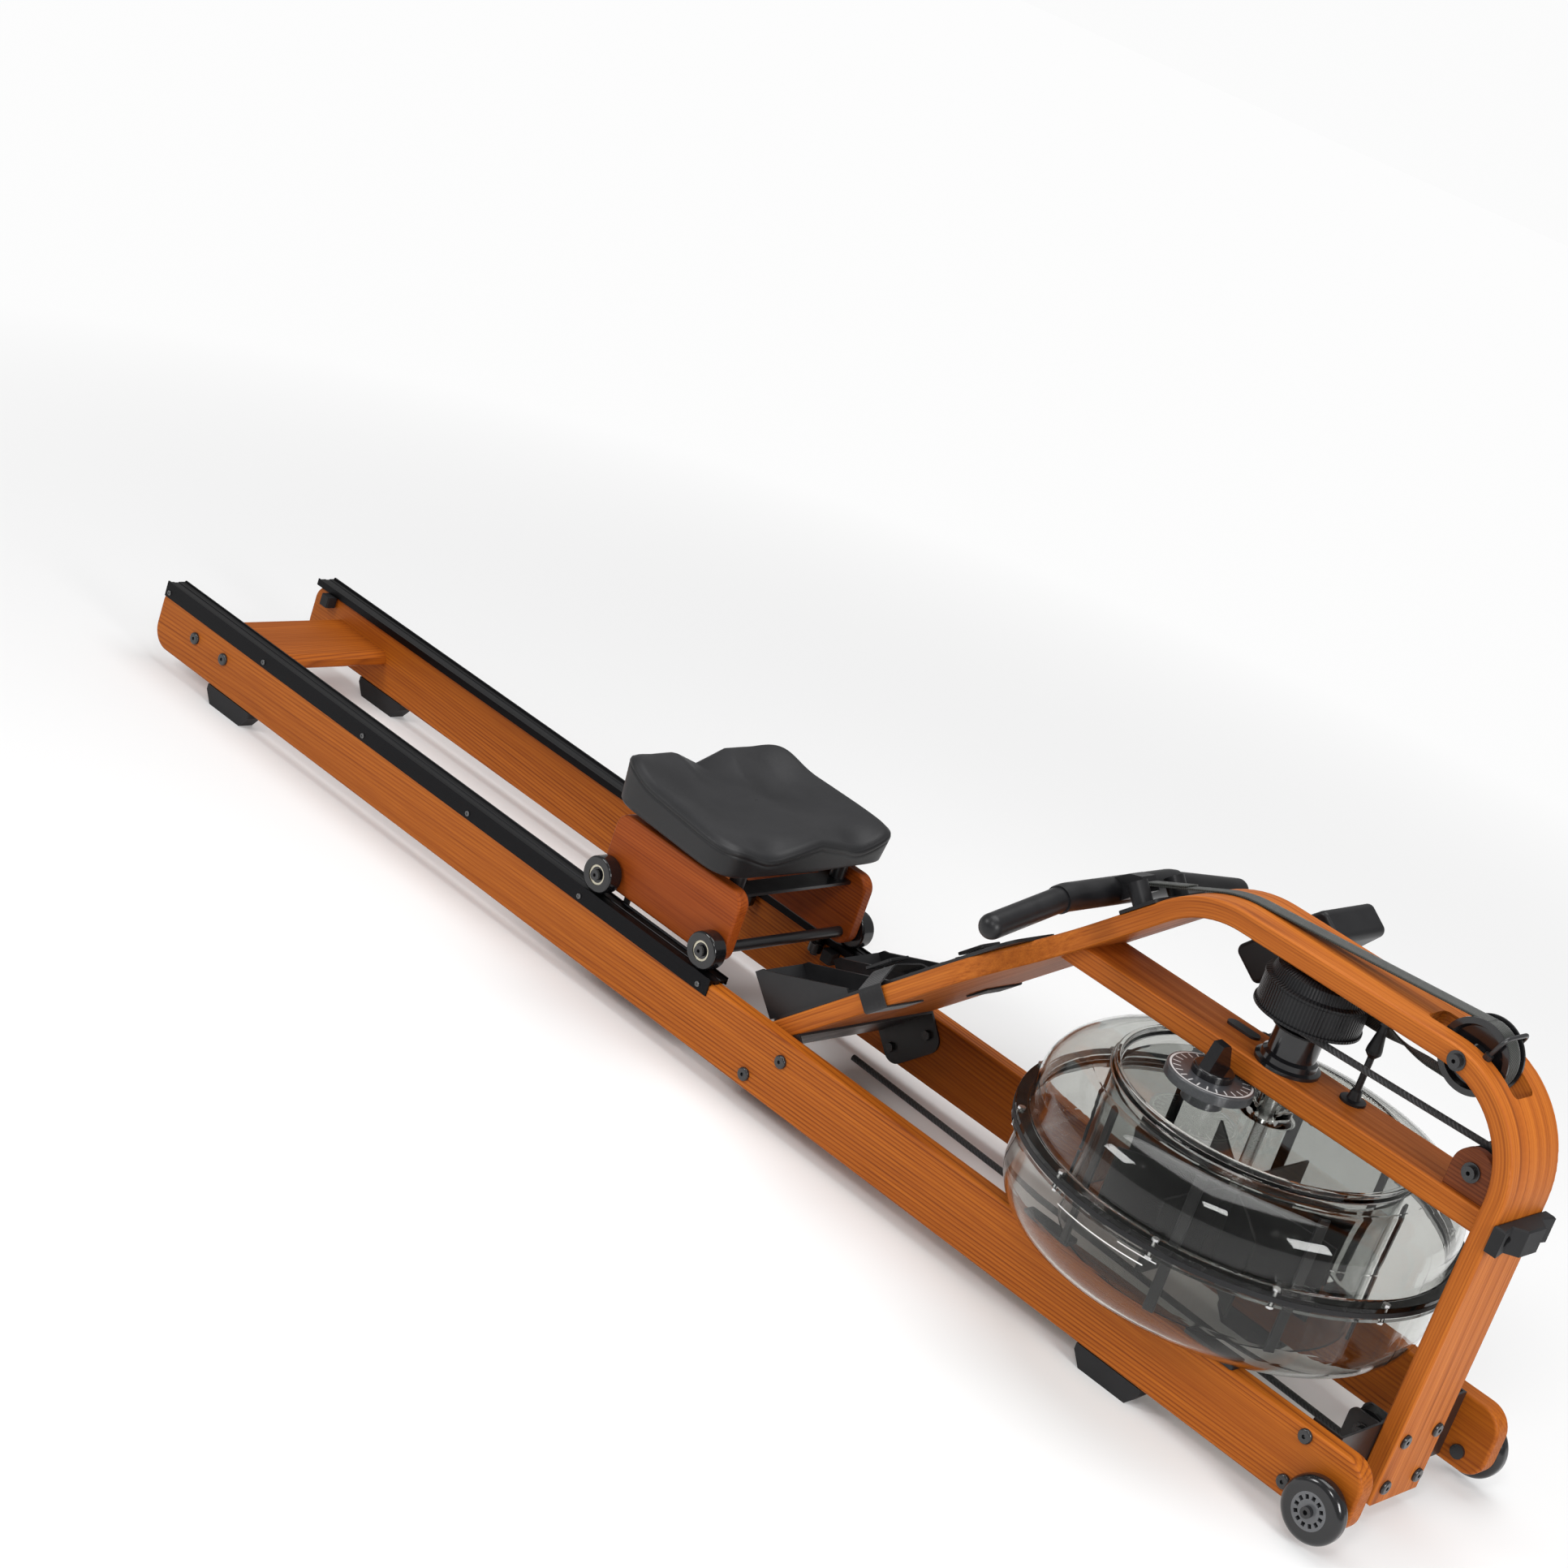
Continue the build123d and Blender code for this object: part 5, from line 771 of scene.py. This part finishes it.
# ---------------------------------------------------------------- floor, light and camera
FLOOR_HALF = 9.0
SKY_LIGHT, SKY_SEEN = 0.34, 0.97
LAMPS = (("overhead", (0.2, 0.3, 3.2), 2.4, 58.0), ("key", (-1.6, -3.0, 2.4), 1.1, 46.0),
         ("side", (3.3, -0.8, 1.5), 1.0, 46.0), ("window", (1.7, -2.5, 2.7), 0.7, 24.0))
LAMP_TARGET = Vector((0.1, 0, 0.2))
CAMERA_EYE = Vector((2.2899, -3.0466, 1.7318))
CAMERA_RIGHT = Vector((0.67959, 0.66626, 0.30702))
CAMERA_AHEAD = Vector((-0.57276, 0.74339, -0.34542))
CAMERA_LENS, SENSOR, CAMERA_CLIP = 76.7, 36.0, (0.05, 60.0)
CAMERA_SHIFT = (0.0021, -0.0010)


def pale_floor():
    """A pale floor that glows softly away from the machine, so that it stays even out to the horizon."""
    look = Look("floor_pale", Base_Color=(0.90, 0.90, 0.90), Roughness=0.8)
    reach = look.node("VectorMath", {0: look.place}, operation="LENGTH").outputs["Value"]
    glow = look.ramp(look.calc("DIVIDE", reach, FLOOR_HALF), (0.06, 0.0), (0.28, 1.0))
    look.set(Base_Color=look.mix(glow, (0.90, 0.90, 0.90), (0.0, 0.0, 0.0)),
             Emission_Color=(0.97, 0.97, 0.97), Emission_Strength=glow, Specular_IOR_Level=0.1)
    return look.material


def build_stage():
    corners = [(-FLOOR_HALF, -FLOOR_HALF, 0), (FLOOR_HALF, -FLOOR_HALF, 0), (FLOOR_HALF, FLOOR_HALF, 0),
               (-FLOOR_HALF, FLOOR_HALF, 0)]
    add_mesh("floor", corners, [(0, 1, 2, 3)], pale_floor(), smooth=False)
    world = bpy.data.worlds.new("studio")
    bpy.context.scene.world = world
    world.use_nodes = True
    tree = world.node_tree
    sky = tree.nodes["Background"]
    sky.inputs["Color"].default_value = (1.0, 1.0, 1.0, 1.0)
    seen = tree.nodes.new("ShaderNodeLightPath").outputs["Is Camera Ray"]
    strength = tree.nodes.new("ShaderNodeMapRange")
    tree.links.new(seen, strength.inputs["Value"])
    strength.inputs["To Min"].default_value, strength.inputs["To Max"].default_value = SKY_LIGHT, SKY_SEEN
    tree.links.new(strength.outputs[0], sky.inputs["Strength"])
    for name, place, size, power in LAMPS:
        light = bpy.data.lights.new(name, "AREA")
        light.size, light.energy = size, power
        lamp = bpy.data.objects.new(name, light)
        bpy.context.scene.collection.objects.link(lamp)
        lamp.location = place
        lamp.rotation_euler = (LAMP_TARGET - Vector(place)).to_track_quat("-Z", "Y").to_euler()


def build_camera():
    lens = bpy.data.cameras.new("camera")
    lens.lens, lens.sensor_width = CAMERA_LENS, SENSOR
    lens.shift_x, lens.shift_y = CAMERA_SHIFT
    lens.dof.use_dof = False
    lens.clip_start, lens.clip_end = CAMERA_CLIP
    camera = bpy.data.objects.new("camera", lens)
    bpy.context.scene.collection.objects.link(camera)
    ahead = CAMERA_AHEAD.normalized()
    right = (CAMERA_RIGHT - ahead * CAMERA_RIGHT.dot(ahead)).normalized()
    axes = Matrix((right, right.cross(ahead), -ahead)).transposed().to_4x4()
    camera.matrix_world = Matrix.Translation(CAMERA_EYE) @ axes
    bpy.context.scene.camera = camera
    bpy.context.scene.view_settings.view_transform = "Standard"


build_stage()
build_camera()
